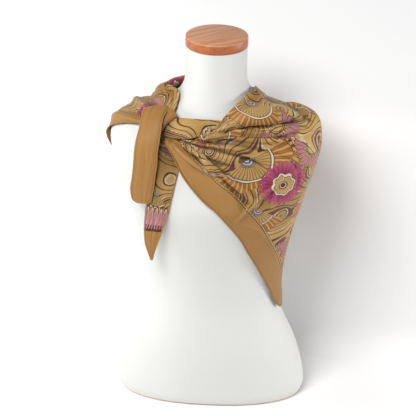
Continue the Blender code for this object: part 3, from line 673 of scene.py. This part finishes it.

# Colours of the scarf's print and of its plain parts, and of the painted shade and painted highlight laid over them

silkDyes = {
    "gold": rgb("A0783A"), "paleGold": rgb("C49E5C"), "honey": rgb("94652E"), "shade": rgb("8C6536"),
    "line": rgb("3C2216"), "burgundy": rgb("551A2B"), "magenta": rgb("942250"), "rose": rgb("AC3A6C"),
    "dustyPink": rgb("AD6D74"), "cream": rgb("CFC6B6"), "orange": rgb("BE7A32"), "slate": rgb("565C69"),
    "border": rgb("9C7037"), "borderLight": rgb("A67A42"), "stitch": rgb("5F3D1B"), "cloud": rgb("8A6436"),
    # The last two below are the colours of painted shade and painted highlight.
    "grain": rgb("6E4A22"), "pleat": rgb("33200F"), "crest": rgb("E2C08A"),
}


class Print(Finish):  # the scarf's printed silk: its patterns lie on the flat cloth, in metres from its corner
    drift = 0.016  # how far a motif's outline wanders

    def layer(self, mask, dye):
        dye = silkDyes[dye] if isinstance(dye, str) else dye
        self.base = self.mixed(mask, self.base, dye)

    def line(self, value, middle, half, soft=0.0003):  # 1 on a line where value is near middle
        return self.under(half, half + soft, self.maths("ABSOLUTE", value - middle))

    def wave(self, value, period, phase=0.0):  # -1 to 1 across each period, 0 in its middle
        return (self.maths("FRACT", value / period + phase) - 0.5) * 2

    def nearest(self, anchors):  # polar places round the nearest anchor, turned and sized as that one is
        best = away = None
        for x, y, turn, size in anchors:
            offset = self.vector("SUBTRACT", self.place, (x + self.drift / 2, y + self.drift / 2, 0))
            turned = self.first("ShaderNodeVectorRotate", {"rotation_type": "Z_AXIS"},
                                {"Vector": offset, "Angle": -math.radians(turn)})
            scaled = self.first("ShaderNodeVectorMath", {"operation": "SCALE"}, {"Vector": turned, "Scale": 1 / size})
            length = Field(self, self.vector("LENGTH", scaled, output="Value"))
            if away is None:
                best, away = scaled, length
                continue
            closer = self.maths("LESS_THAN", length, away)
            best = self.node("ShaderNodeMix", {"data_type": "VECTOR"}, {0: closer, 4: best, 5: scaled}).outputs[1]
            away = self.maths("MINIMUM", length, away)
        x, y, _ = self.split(best)
        return away, self.maths("ARCTAN2", y, x)


def silkFinish(name, printed):
    silk = Print(name, 0.56, Sheen_Weight=0.08, Sheen_Roughness=0.5, Specular_IOR_Level=0.3)
    uv = silk.first("ShaderNodeUVMap", {"uv_map": "clothMap"})
    slow = silk.noise(uv, 14.0, 1.0)
    u, v, _ = silk.split(uv)
    silk.place = uv
    edge, run = silk.attribute("hemAway"), silk.attribute("hemRun")
    silk.base = silk.mixed(slow, silkDyes["border"], silkDyes["borderLight"])
    if printed:
        drawPrint(silk, edge, run)
    # The stitched line of the rolled hem, which is also painted shade in the valley beside the roll, and a slight
    # unevenness of the dye and of the weave.
    dash = silk.step(-0.5, 0.3, silk.wave(run, hemShape["sizes"]["Stitch spacing"]))
    silk.layer(silk.line(edge, 0.0028, 0.0005, 0.0008) * (0.25 + dash * 0.35), "stitch")
    cloud = silk.noise(uv, 60.0, 3.0)
    silk.layer(silk.step(0.35, 0.75, cloud) * 0.14, "cloud")
    grain = silk.noise(uv, 620.0, 2.0)
    silk.layer(silk.step(0.42, 0.62, grain) * 0.13, "grain")
    # Painted shade in the pleats and hollows, and a painted highlight on the cloth that stands out of them.
    fold = silk.attribute("foldShade")
    silk.layer(silk.step(0.0, 1.0, fold) * 0.80, "pleat")
    silk.layer(silk.step(0.0, 1.0, fold * -1.0) * 0.28, "crest")
    silk.colour(silk.base)
    # The twill's fine diagonal ribs.
    twill = silk.maths("SINE", (u + v * 1.7) * 9000.0)
    slub = silk.noise(uv, 900.0, 2.0)
    silk.bump(twill * 0.3 + slub, 0.20, 0.00030)
    return silk.made


def drawPrint(silk, edge, run):
    layer, line, step, under = silk.layer, silk.line, silk.step, silk.under
    wave, maths = silk.wave, silk.maths
    plainTan = silk.base
    sway = silk.node("ShaderNodeTexNoise", {}, {"Vector": silk.place, "Scale": 16.0, "Detail": 2.0}).outputs["Color"]
    silk.place = silk.vector("MULTIPLY_ADD", sway, (silk.drift, silk.drift, 0), silk.place)
    # Gold ground, with contour lines that run round slow hills.
    warp = silk.noise(silk.place, 7.0, 2.0, 0.45)
    thick = silk.noise(silk.place, 30.0, 1.0)
    hills = silk.first("ShaderNodeTexVoronoi", {"feature": "SMOOTH_F1", "voronoi_dimensions": "2D"},
                       {"Vector": silk.place, "Scale": 8.5, "Smoothness": 0.7, "Randomness": 0.9})
    height = Field(silk, hills) / 8.5 + warp * 0.09
    silk.base = silk.mixed(step(0.40, 0.62, warp), silkDyes["gold"], silkDyes["paleGold"])
    layer(under(0.30, 0.42, warp) * 0.6, "shade")
    half = 0.10 + thick * 0.14
    layer(line(wave(height, 0.0080), 0, half, 0.06), "line")
    beads = step(0.48, 0.52, silk.noise(silk.place, 480.0, 0.0))
    layer(line(wave(height, 0.0240, 0.27), 0, 0.055, 0.02) * beads, "cream")
    layer(line(wave(height, 0.0400, 0.10), 0, 0.060, 0.02), "burgundy")
    # Striped fans, each with its own rings.
    away, turn = silk.nearest([
        (0.350, 0.112, 195, 1.45), (0.262, 0.052, 238, 1.10), (0.225, 0.150, 150, 1.35), (0.150, 0.046, 205, 1.00),
        (0.396, 0.270, 262, 1.30), (0.306, 0.268, 118, 1.05), (0.446, 0.150, 200, 1.10),
        (-0.03, 0.560, 60, 0.80), (0.045, 0.585, 300, 0.90), (0.120, 0.470, 20, 1.00), (0.080, 0.330, 100, 1.00),
        (0.200, 0.330, 60, 0.95), (0.055, 0.180, 140, 0.90), (0.270, 0.390, 30, 1.00)])
    aside = maths("ABSOLUTE", turn)
    inFan = under(0.0640, 0.0643, away) * under(1.42, 1.43, aside)

    def band(low, high):
        return inFan * step(low, low + 0.0003, away) * under(high, high + 0.0003, away)

    layer(inFan, "gold")
    broad = maths("ABSOLUTE", wave(turn, 0.165))
    slim = maths("ABSOLUTE", wave(turn, 0.115))
    stripes = band(0.0330, 0.0520)
    layer(stripes, "honey")
    layer(stripes * under(0.50, 0.58, broad), "orange")
    layer(stripes * under(0.12, 0.20, broad), "paleGold")
    layer(stripes * line(broad, 0.60, 0.05, 0.06), "line")
    rays = band(0.0110, 0.0290)
    layer(rays, "paleGold")
    layer(rays * line(broad, 1.0, 0.20, 0.06), "line")
    layer(rays * line(broad, 0.35, 0.10, 0.06), "shade")
    layer(band(0.0295, 0.0322), "cream")
    layer(band(0.0000, 0.0105), "slate")
    layer(line(wave(away, 0.0042), 0, 0.22, 0.1) * band(0.0, 0.0105), "cream")
    rim = band(0.0535, 0.0575)
    layer(rim, "paleGold")
    layer(rim * under(0.42, 0.50, slim), "burgundy")
    scallop = (away - 0.0580) / 0.0058
    loop = scallop * scallop + slim * slim
    layer(band(0.0580, 0.0640) * under(0.92, 1.0, loop), "cream")
    layer(band(0.0580, 0.0640) * under(0.45, 0.52, loop), "orange")
    for ring in (0.0108, 0.0292, 0.0326, 0.0525, 0.0578):
        layer(inFan * line(away, ring, 0.0004), "line")
    layer(line(away, 0.0640, 0.0005) * under(1.42, 1.44, aside), "line")
    # Blossoms with a ring of narrow petals round a waved cream collar.
    away, turn = silk.nearest([
        (0.268, 0.118, 0, 0.92), (0.070, 0.575, 5, 0.55), (0.300, 0.480, 0, 0.90), (-0.045, 0.600, 0, 0.40),
        (0.040, 0.260, 0, 0.80), (0.160, 0.400, 0, 0.75)])
    petal = maths("ABSOLUTE", wave(turn, 2 * math.pi / 26))
    reach = 0.0470 - petal ** 2.0 * 0.0085
    within = under(0.0, 0.0003, away - reach)
    layer(within, silk.mixed(step(0.022, 0.044, away), silkDyes["magenta"], silkDyes["rose"]))
    layer(within * step(0.72, 0.95, petal), "burgundy")
    layer(line(away - reach, 0.0003, 0.0004), "line")
    collar = away + maths("SINE", turn * 8.0) * 0.0016
    layer(under(0.0235, 0.0238, collar), "cream")
    layer(under(0.0190, 0.0193, collar), "paleGold")
    layer(under(0.0190, 0.0193, collar) * line(wave(turn, 0.26), 0, 0.16, 0.06), "line")
    layer(line(collar, 0.0236, 0.0005) + line(collar, 0.0191, 0.0004), "line")
    layer(under(0.0085, 0.0088, away), "burgundy")
    layer(line(away, 0.0058, 0.0006), "cream")
    # Sprays of leaves.
    away, turn = silk.nearest([
        (0.345, 0.215, 200, 1.00), (0.268, 0.200, 250, 0.85), (0.120, 0.040, 60, 0.70), (0.418, 0.105, 40, 0.55),
        (-0.02, 0.600, 0, 0.55), (0.120, 0.260, 90, 0.80), (0.180, 0.480, 0, 0.80)])
    blade = wave(turn, 0.24)
    leaf = blade * blade + ((away - 0.0330) / 0.0125) ** 2.0
    spread = under(1.75, 1.76, maths("ABSOLUTE", turn))
    layer(under(0.80, 0.90, leaf) * spread, "dustyPink")
    layer(line(leaf, 0.92, 0.12, 0.06) * spread, "line")
    layer((line(away, 0.0185, 0.0007) + line(away, 0.0160, 0.0004)) * spread, "line")
    # Dashes along the plain border, and a row of small arches across the pointed end.
    inRow = step(0.0448, 0.0451, edge)
    arch = wave(run, 0.0085)
    rim = (edge - 0.0478) / 0.0075
    rim = rim * rim + arch * arch
    rosyRow = silk.attribute("rosyRow") * inRow
    layer(under(0.92, 1.0, rim) * rosyRow, "dustyPink")
    layer(line(rim, 0.80, 0.10, 0.10) * rosyRow * 0.7, "cream")
    layer(line(rim, 1.05, 0.10, 0.06) * rosyRow, "line")
    layer(under(0.0486, 0.0488, edge) * inRow * (1 - rosyRow), "paleGold")
    layer(under(0.0472, 0.0474, edge) * step(-0.1, 0.1, wave(run, 0.0050)) * inRow, "burgundy")
    layer(line(edge, 0.0490, 0.0004) * (1 - rosyRow), "line")
    silk.base = silk.mixed(under(0.0448, 0.0451, edge), silk.base, plainTan)
    layer(line(edge, 0.0450, 0.0004), "line")


def threadFinish():
    thread = Finish("hem_thread", 0.6)
    thread.colour(thread.mixed(thread.noise(thread.inside(), 900.0), rgb("9A6E38"), rgb("B58A4E")))
    return thread.made


def formFinish():
    white = Finish("white_jersey_cover", 0.78, Sheen_Weight=0.15, Specular_IOR_Level=0.25)
    place = white.inside()
    white.colour(white.mixed(white.noise(place, 9.0, 2.0), rgb("D9D9D6"), rgb("DDDDDA")))
    _, _, height = white.split(place)
    ribs = white.maths("SINE", height * 5200.0) * 0.5
    white.bump(ribs + white.noise(place, 700.0, 2.0), 0.08, 0.0002)
    return white.made


capShape = {"radius": 57.0, "bottom": 684.3, "thickness": 18.0, "edge": 1.6, "sides": 128, "creaseAngle": 50}
boardShape = {"inset": 2.0, "bottom": 0.0, "thickness": 3.0, "edge": 0.6, "sides": 160, "creaseAngle": 50}


def beechFinish():  # the edge of the turned cap is a deeper colour than its top, and the board is paler
    beech = Finish("oiled_beech", 0.5, Coat_Weight=0.12, Coat_Roughness=0.35)
    place = beech.inside()
    turned = beech.mapped(place, Rotation=(0.0, 0.0, math.radians(-38)))
    broad = beech.noise(beech.mapped(turned, Scale=(8.0, 120.0, 90.0)), 1.0, 3.0, 0.6)
    fine = beech.noise(beech.mapped(turned, Scale=(60.0, 1400.0, 900.0)), 1.0, 2.0)
    stops = [(0.25, rgb("B5774C")), (0.5, rgb("CC9068")), (0.75, rgb("DDAA84"))]
    tone = beech.first("ShaderNodeValToRGB", {"stops": stops}, [broad])
    grain = beech.mixed(beech.step(0.5, 0.75, fine) * 0.35, tone, rgb("9C6238"))
    _, _, height = beech.split(place)
    rim = beech.node("ShaderNodeMix", {"data_type": "RGBA", "blend_type": "MULTIPLY"},
                     {0: 1.0, 6: grain, 7: rgb("D9AB86")}).outputs[2]
    top = (capShape["bottom"] + capShape["thickness"]) * mm
    edged = beech.mixed(beech.step(top - 0.002, top - 0.001, height), rim, grain)
    beech.colour(beech.mixed(beech.step(0.30, 0.35, height), rgb("C9B096"), edged))
    beech.bump(fine, 0.12, 0.0003)
    return beech.made


finishes = {
    "print": silkFinish("printed_silk_twill", True), "plain": silkFinish("plain_silk_twill", False),
    "thread": threadFinish(), "form": formFinish(), "beech": beechFinish(),
}
print("finishes ready")


# Building the form

def closedPiece(name, points, finish, creaseAngle):  # rings of points, closed at both ends
    made = meshObject(name, points, gridFaces(*points.shape[:2], closed=True), finish)
    mended(made, lambda mesh: bmesh.ops.holes_fill(mesh, edges=[e for e in mesh.edges if e.is_boundary]))
    made.data.set_sharp_from_angle(angle=math.radians(creaseAngle))
    return made


def buildForm():
    angles = np.linspace(0, 2 * math.pi, formShape["sides"], endpoint=False)
    levels = np.linspace(0, len(formShape["rings"]) - 1, formShape["rows"])
    points = formPoint(angles[:, None], levels[None, :])
    made = closedPiece("form_torso_cover", points, finishes["form"], formShape["creaseAngle"])
    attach(made, "root")
    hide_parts("form_torso")


def turnedDisc(name, ring, shape):  # a flat piece with softened edges
    thickness, edge = shape["thickness"], shape["edge"]
    levels = [(0.0, edge), (edge * 0.3, edge * 0.3), (edge, 0.0), (thickness - edge, 0.0),
              (thickness - edge * 0.3, edge * 0.3), (thickness, edge)]
    outward = unit(ring - ring.mean(0))
    points = np.stack([np.column_stack([ring - outward * inwards, np.full(len(ring), shape["bottom"] + height)])
                       for height, inwards in levels], axis=1) * mm
    return closedPiece(name, points, finishes["beech"], shape["creaseAngle"])


def buildWood():
    angles = np.linspace(0, 2 * math.pi, capShape["sides"], endpoint=False)
    cap = turnedDisc("form_neck_cap_turned", np.stack([np.cos(angles), np.sin(angles)], -1) * capShape["radius"],
                     capShape)
    angles = np.linspace(0, 2 * math.pi, boardShape["sides"], endpoint=False)
    _, _, _, _, *sizes, square = formShape["rings"][-1]
    outline = roundedSquare(angles, *(size - boardShape["inset"] for size in sizes), square)
    board = turnedDisc("form_base_board_cut", np.stack(outline, -1), boardShape)
    for made, node in ((cap, "form_neck_cap"), (board, "form_base_board")):
        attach(made, "root")
        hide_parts(node)


# Laying the cloth flat, for its print and its border

def flattened(points, lineCount=45):  # every point's place on the flat cloth, in metres
    columnStep = capeShape["columnSteps"]
    lines = np.round(np.linspace(0, points.shape[1] - 1, lineCount)).astype(int)
    coarse = points[::columnStep, lines]
    columns = len(coarse)
    helper = meshObject("flat_helper", coarse, gridFaces(columns, lineCount), None)
    helper.data.uv_layers.new(name="flat")
    bpy.ops.object.select_all(action="DESELECT")
    bpy.context.view_layer.objects.active = helper
    helper.select_set(True)
    bpy.ops.object.mode_set(mode="EDIT")
    bpy.ops.mesh.select_all(action="SELECT")
    bpy.ops.uv.unwrap(method="MINIMUM_STRETCH", margin=0)
    bpy.ops.object.mode_set(mode="OBJECT")
    corners = np.empty(len(helper.data.loops), int)
    helper.data.loops.foreach_get("vertex_index", corners)
    places = np.empty(len(corners) * 2)
    helper.data.uv_layers["flat"].data.foreach_get("uv", places)
    flat = np.zeros((columns * lineCount, 2))
    flat[corners] = places.reshape(-1, 2)
    flat = flat.reshape(columns, lineCount, 2)
    bpy.data.meshes.remove(helper.data)
    # Metres, and the corner of the square at the origin with the front hem along the first axis.
    flat *= lengthsAlong(coarse)[:, -1].sum() / lengthsAlong(flat)[:, -1].sum()
    corner = int(np.argmin(coarse[:, -1, 2]))
    front = unit(flat[corner // 5, -1] - flat[corner, -1])  # towards a place near the front hem's end
    side = np.array([-front[1], front[0]])
    side *= np.sign((flat[-1, -1] - flat[corner, -1]) @ side)
    flat = flat - flat[corner, -1]
    flat = np.stack([flat @ front, flat @ side], -1)
    flat = spline(flat, np.arange(points.shape[0]) / columnStep)
    share = np.interp(np.arange(points.shape[1]), lines, np.arange(lineCount))
    low = np.minimum(share.astype(int), lineCount - 2)
    part = (share - low)[None, :, None]
    return flat[:, low] * (1 - part) + flat[:, low + 1] * part


def hemValues(flat, hem):  # how far each place is from the hem, and how far along it
    run = lengthsAlong(hem)
    away, along = np.full(flat.shape[:-1], np.inf), np.zeros(flat.shape[:-1])
    for a, b, start in zip(hem[:-1], hem[1:], run):
        step = b - a
        share = np.clip(((flat - a) @ step) / (step @ step), 0, 1)
        distance = np.linalg.norm(flat - a - share[..., None] * step, axis=-1)
        closer = distance < away
        away = np.where(closer, distance, away)
        along = np.where(closer, start + share * np.linalg.norm(step), along)
    (front, frontRun), (rear, rearRun) = hemShape["foldedUnder"]
    hidden = front * hump(along / frontRun) + rear * hump((run[-1] - along) / rearRun)
    return {"hemAway": away + np.where(away < hemShape["foldReach"], hidden, 0), "hemRun": along}


# The rolled hem: a thin roll of cloth along an edge, drawn in by slanting stitches

def hemTree(silk, thread):
    tree = bpy.data.node_groups.new("rolled hem", "GeometryNodeTree")
    hem = Nodes(tree)
    sockets = {}
    tree.interface.new_socket("Geometry", in_out="INPUT", socket_type="NodeSocketGeometry")
    for name, value in hemShape["sizes"].items():
        socket = tree.interface.new_socket(name, in_out="INPUT", socket_type="NodeSocketFloat")
        sockets[socket.identifier] = value
    tree.interface.new_socket("Geometry", in_out="OUTPUT", socket_type="NodeSocketGeometry")
    given = hem.node("NodeGroupInput").outputs
    spacing, rollRadius = given["Stitch spacing"], given["Roll radius"]

    def resampled(length):
        return hem.first("GeometryNodeResampleCurve", {"mode": "LENGTH"}, {"Curve": path, "Length": length})

    def circle(resolution, radius):
        return hem.first("GeometryNodeCurvePrimitiveCircle", {}, {"Resolution": resolution, "Radius": radius})

    def dyed(geometry, material):
        return hem.first("GeometryNodeSetMaterial", {}, {"Geometry": geometry, "Material": material})

    path = hem.first("GeometryNodeMeshToCurve", {}, [given["Geometry"]])
    length = Field(hem, hem.node("GeometryNodeSplineParameter").outputs["Length"])
    beat = hem.maths("COSINE", length / spacing * (2 * math.pi))
    radius = (1.0 - (beat + 1.0) * 0.5 * given["Pinch"]) * rollRadius
    pinched = hem.first("GeometryNodeSetCurveRadius", {}, {"Curve": resampled(given["Step"]), "Radius": radius})
    roll = hem.first("GeometryNodeCurveToMesh", {},
                     {"Curve": pinched, "Profile Curve": circle(8, 1.0), "Fill Caps": True,
                      "Scale": hem.first("GeometryNodeInputRadius")})

    tangent = hem.first("GeometryNodeInputTangent")
    aimed = hem.first("FunctionNodeAlignRotationToVector", {"axis": "Z"}, {"Vector": tangent})
    lean = hem.first("ShaderNodeCombineXYZ", {}, [given["Slant"], 0.0, 0.0])
    slanted = hem.first("FunctionNodeRotateRotation", {"rotation_space": "LOCAL"},
                        {"Rotation": aimed, "Rotate By": hem.first("FunctionNodeEulerToRotation", {}, [lean])})
    loop = circle(10, Field(hem, rollRadius) * 0.93)
    stitch = hem.first("GeometryNodeCurveToMesh", {}, {"Curve": loop, "Profile Curve": circle(4, given["Stitch size"])})
    stitches = hem.first("GeometryNodeInstanceOnPoints", {},
                         {"Points": resampled(spacing), "Instance": stitch, "Rotation": slanted})
    stitches = hem.first("GeometryNodeRealizeInstances", {}, [stitches])
    both = hem.node("GeometryNodeJoinGeometry")
    for part in (dyed(stitches, thread), dyed(roll, silk)):
        hem.plug(both.inputs[0], part)
    smooth = hem.first("GeometryNodeSetShadeSmooth", {}, {"Geometry": both.outputs[0]})
    hem.plug(hem.node("NodeGroupOutput").inputs[0], smooth)
    return tree, sockets


rolledHem, hemSizes = hemTree(finishes["plain"], finishes["thread"])


def sewHem(name, paths):  # a rolled hem along each path of points
    data = bpy.data.meshes.new(name)
    points, edges = [], []
    for path in paths:
        first = len(points)
        points += np.asarray(path).tolist()
        edges += [(k, k + 1) for k in range(first, len(points) - 1)]
    data.from_pydata(points, edges, [])
    guide = linked(name + "_guide", data)
    modifier = guide.modifiers.new("Hem", "NODES")
    modifier.node_group = rolledHem
    for identifier, value in hemSizes.items():
        modifier[identifier] = value
    bpy.context.view_layer.update()
    mesh = bpy.data.meshes.new_from_object(guide.evaluated_get(bpy.context.evaluated_depsgraph_get()))
    mesh.name = name
    made = linked(name, mesh)
    bpy.data.objects.remove(guide)
    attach(made, "root")
    return made


# Building the scarf

def buildCape():
    points, shade = capePoints()
    flat = flattened(points)
    values = hemValues(flat, flat[::capeShape["columnSteps"], -1]) | {"foldShade": shade}
    cape = meshObject("scarf_cape_cloth", points, gridFaces(*points.shape[:2]), finishes["print"], flat, values)
    thickened(cape, capeShape["wall"] * mm)
    hem = sewHem("scarf_cape_hem", [points[:, -1]])
    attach(cape, "root")
    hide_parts("scarf_cape")
    print("cape laid:", points.shape, "flat", np.ptp(flat.reshape(-1, 2), axis=0).round(3))


stripPieces = {
    # Each piece's share turned back behind it, where its print lies on the flat cloth, its slot, flat size and area,
    # its painted shade as (metres along, shade) and its lengthwise creases: share across, drift, width, mm.
    "neckBand": {
        "node": "scarf_neck_band", "finish": "print", "slot": "printed_silk", "back": 0.0, "hemmed": False,
        "print": (0.46, 0.33), "turn": 0, "flat": (0.044, 0.102), "area": 0.0036,
        "shade": ([0, 0.012, 0.03], [1, 0.7, 0]),
        "pleats": [(0.30, 0.2, 0.10, 1.0), (0.52, -0.2, 0.08, -0.9), (0.75, 0.15, 0.10, 0.9)]},
    "knotLoop": {
        "node": "scarf_knot_loop", "finish": "plain", "slot": "plain_silk", "back": 0.0, "hemmed": False,
        "print": (0.0, 0.0), "turn": 0, "flat": (0.025, 0.078), "area": 0.0012,
        "shade": ([0, 0.03, 0.06], [0, 0.2, 0.7]),
        "pleats": [(0.35, 0.2, 0.12, 0.7), (0.68, -0.1, 0.10, -0.6)]},
    "tailLong": {
        "node": "scarf_tail_long", "finish": "plain", "slot": "plain_silk", "back": 0.8, "hemmed": True,
        "print": (0.0, 0.0), "turn": 0, "flat": (0.088, 0.211), "area": 0.0173, "shade": ([0, 1], [0, 0]),
        "pleats": [(0.22, 0.25, 0.10, 0.7), (0.50, -0.2, 0.12, -0.6), (0.74, 0.10, 0.09, 0.6)]},
    "tailPointed": {
        "node": "scarf_tail_pointed", "finish": "print", "slot": "printed_silk", "back": 0.8, "hemmed": True,
        "print": (0.17, 0.15), "turn": 90, "flat": (0.084, 0.246), "area": 0.0138,
        "shade": ([0, 0.03, 0.07, 0.15, 0.18], [1, 0.7, 0.4, 0.3, 0]),
        "pleats": [(0.25, 0.2, 0.12, 0.9), (0.55, -0.3, 0.12, -0.8), (0.80, 0.1, 0.08, 0.7)],
        "borderSlope": 0.21, "borderFrom": 0.0318},
}


def buildStrips():
    for key, piece in stripPieces.items():
        points = stripPoints(stripShape[key], piece["back"], piece["pleats"])
        across = lengthsAlong(points)
        along = lengthsAlong(points.transpose(1, 0, 2)).T
        along = np.repeat(along.mean(1, keepdims=True), points.shape[1], axis=1)
        turn = math.radians(piece["turn"])
        u = piece["print"][0] + across * math.cos(turn) - along * math.sin(turn)
        v = piece["print"][1] + across * math.sin(turn) + along * math.cos(turn)
        front = stripShape["frontSteps"]
        # Painted shade, darkest where the piece goes into the knot.
        shade = np.interp(along, *piece["shade"])
        values = {"hemAway": np.full(points.shape[:2], 0.5), "hemRun": along, "foldShade": shade}
        if key == "tailLong":
            values["hemAway"] = across
        if key == "tailPointed":  # its point is plain, and the row of arches crosses it above that
            values["hemAway"] = (along[-1, 0] - along) * piece["borderSlope"] + piece["borderFrom"]
            values |= {"hemRun": across, "rosyRow": np.ones(across.shape)}
        cloth = meshObject(piece["node"] + "_cloth", points, gridFaces(*points.shape[:2]), finishes[piece["finish"]],
                           np.stack([u, v], -1), values)
        thickened(cloth, stripShape["wall"] * mm)
        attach(cloth, "root")
        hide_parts(piece["node"])
        if piece["hemmed"]:
            sides = points[stripShape["hemStart"]:-1]
            sewHem(piece["node"] + "_hem", [sides[:, 0], sides[:, front - 2]])
        if key == "knotLoop":
            buildCore()
        print(key, "laid: length", along[-1, 0].round(3), "width", across[:, -1].max().round(3))


coreShape = {"centre": (-103.0, -74.0, 556.0), "radii": (10.2, 8.8, 11.4), "sides": 72, "rows": 36,
             "folds": 9, "foldDepth": 0.16, "twist": 1.3}


def buildCore():  # the bundled cloth inside the knot, with its folds twisting round it
    turn = np.linspace(0, 2 * math.pi, coreShape["sides"], endpoint=False)[:, None]
    rise = np.linspace(0, math.pi, coreShape["rows"])[None, :]
    folds = 1 - coreShape["foldDepth"] * (0.5 + 0.5 * np.cos(
        coreShape["folds"] * (turn + coreShape["twist"] * np.cos(rise)))) * np.sin(rise) ** 0.5
    ball = np.stack([np.cos(turn) * np.sin(rise) * folds, np.sin(turn) * np.sin(rise) * folds,
                     -np.cos(rise) + 0 * turn], -1)
    points = (np.array(coreShape["centre"]) + ball * coreShape["radii"]) * mm
    # Painted shade over the whole core, which lies in shade inside the knot.
    made = meshObject("scarf_knot_core_cloth", points, gridFaces(*points.shape[:2], closed=True), finishes["plain"],
                      np.stack([turn * 0.01 + 0 * rise, rise * 0.01 + 0 * turn], -1),
                      {"foldShade": 0.8 + 0 * turn + 0 * rise})
    mended(made, lambda mesh: bmesh.ops.remove_doubles(mesh, verts=mesh.verts, dist=1e-6))
    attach(made, "root")
    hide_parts("scarf_knot_core")
    return made


buildForm()
buildWood()
print("form built")
buildCape()
buildStrips()
print("scarf built")


# The studio

studio = {
    "wallAt": 0.165, "bend": 0.05, "leansFrom": 0.41, "lean": 0.12, "leanAngle": 50, "width": 16.0, "front": -10.0,
    "height": 4.0, "bendSteps": 24, "leanSteps": 12, "world": 0.12, "aim": (0, 0, 0.35),
    "lamps": [  # name, place, size, power
        ("key", (-0.98, -2.00, 2.75), 1.6, 100.0), ("leftStrip", (-2.0, -0.35, 0.8), 0.8, 13.0),
        ("rightStrip", (2.0, -0.04, 0.55), 0.5, 19.0),
    ],
}


def buildStudio():
    white = Finish("studio_white", 0.9, Specular_IOR_Level=0.1)
    white.colour(white.mixed(white.noise(white.inside(), 2.0), rgb("F4F4F4"), rgb("F6F6F6")))
    behind = white.node("ShaderNodeNewGeometry").outputs["Backfacing"]  # one-sided, so it hides nothing from behind
    clear = white.first("ShaderNodeBsdfTransparent")
    both = white.first("ShaderNodeMixShader", {}, [behind, white.shader.outputs[0], clear])
    white.plug(white.tree.nodes["Material Output"].inputs["Surface"], both)
    wall, bend, lean = studio["wallAt"], studio["bend"], studio["lean"]
    slope = math.radians(studio["leanAngle"])
    line = [(studio["front"], 0.0)]  # y and z, from the front of the floor to the top of the wall
    line += [(wall - bend + bend * math.sin(a), bend - bend * math.cos(a))
             for a in np.linspace(0, math.pi / 2, studio["bendSteps"])]
    line += [(wall + lean * (1 - math.cos(a)), studio["leansFrom"] + lean * math.sin(a))
             for a in np.linspace(0, slope, studio["leanSteps"])]
    rest = studio["height"] - line[-1][1]
    line.append((line[-1][0] + rest * math.tan(slope), studio["height"]))
    sides = np.linspace(-studio["width"] / 2, studio["width"] / 2, 3)
    points = np.array([[(x, y, z) for y, z in line] for x in sides])
    sweep = meshObject("studio_sweep", points, gridFaces(*points.shape[:2])[:, ::-1], white.made)
    for name, place, size, power in studio["lamps"]:
        data = bpy.data.lights.new("studio_" + name, "AREA")
        data.energy, data.size = power, size
        lamp = linked("studio_" + name, data)
        lamp.location = place
        lamp.rotation_euler = (Vector(studio["aim"]) - lamp.location).to_track_quat("-Z", "Y").to_euler()
    world = bpy.data.worlds.new("studio_air")
    world.use_nodes = True
    air = world.node_tree.nodes["Background"].inputs
    air["Color"].default_value = (1, 1, 1, 1)
    air["Strength"].default_value = studio["world"]
    bpy.context.scene.world = world
    bpy.context.scene.view_settings.view_transform = "Standard"


viewpoint = {"distance": 6.0, "rise": 24.0, "turn": 3.5, "roll": 1.0, "target": (0, 0, 0.36), "seen": 0.770,
             "shift": (-0.0144231, 0.0), "sensor": 36, "clipEnd": 50}


def placeCamera():
    e, a, r = (math.radians(viewpoint[key]) for key in ("rise", "turn", "roll"))
    back = Vector((math.sin(a) * math.cos(e), -math.cos(a) * math.cos(e), math.sin(e)))
    right = (-back).cross(Vector((0, 0, 1))).normalized()
    up = right.cross(-back)
    right, up = right * math.cos(r) + up * math.sin(r), -right * math.sin(r) + up * math.cos(r)
    camera = linked("studio_camera", bpy.data.cameras.new("studio_camera"))
    camera.data.sensor_width = viewpoint["sensor"]
    camera.data.lens = viewpoint["sensor"] * viewpoint["distance"] / viewpoint["seen"]
    camera.data.shift_x, camera.data.shift_y = viewpoint["shift"]
    camera.data.clip_end = viewpoint["clipEnd"]
    place = Vector(viewpoint["target"]) + back * viewpoint["distance"]
    camera.matrix_world = Matrix.Translation(place) @ Matrix((right, up, back)).transposed().to_4x4()
    bpy.context.scene.camera = camera


buildStudio()
placeCamera()
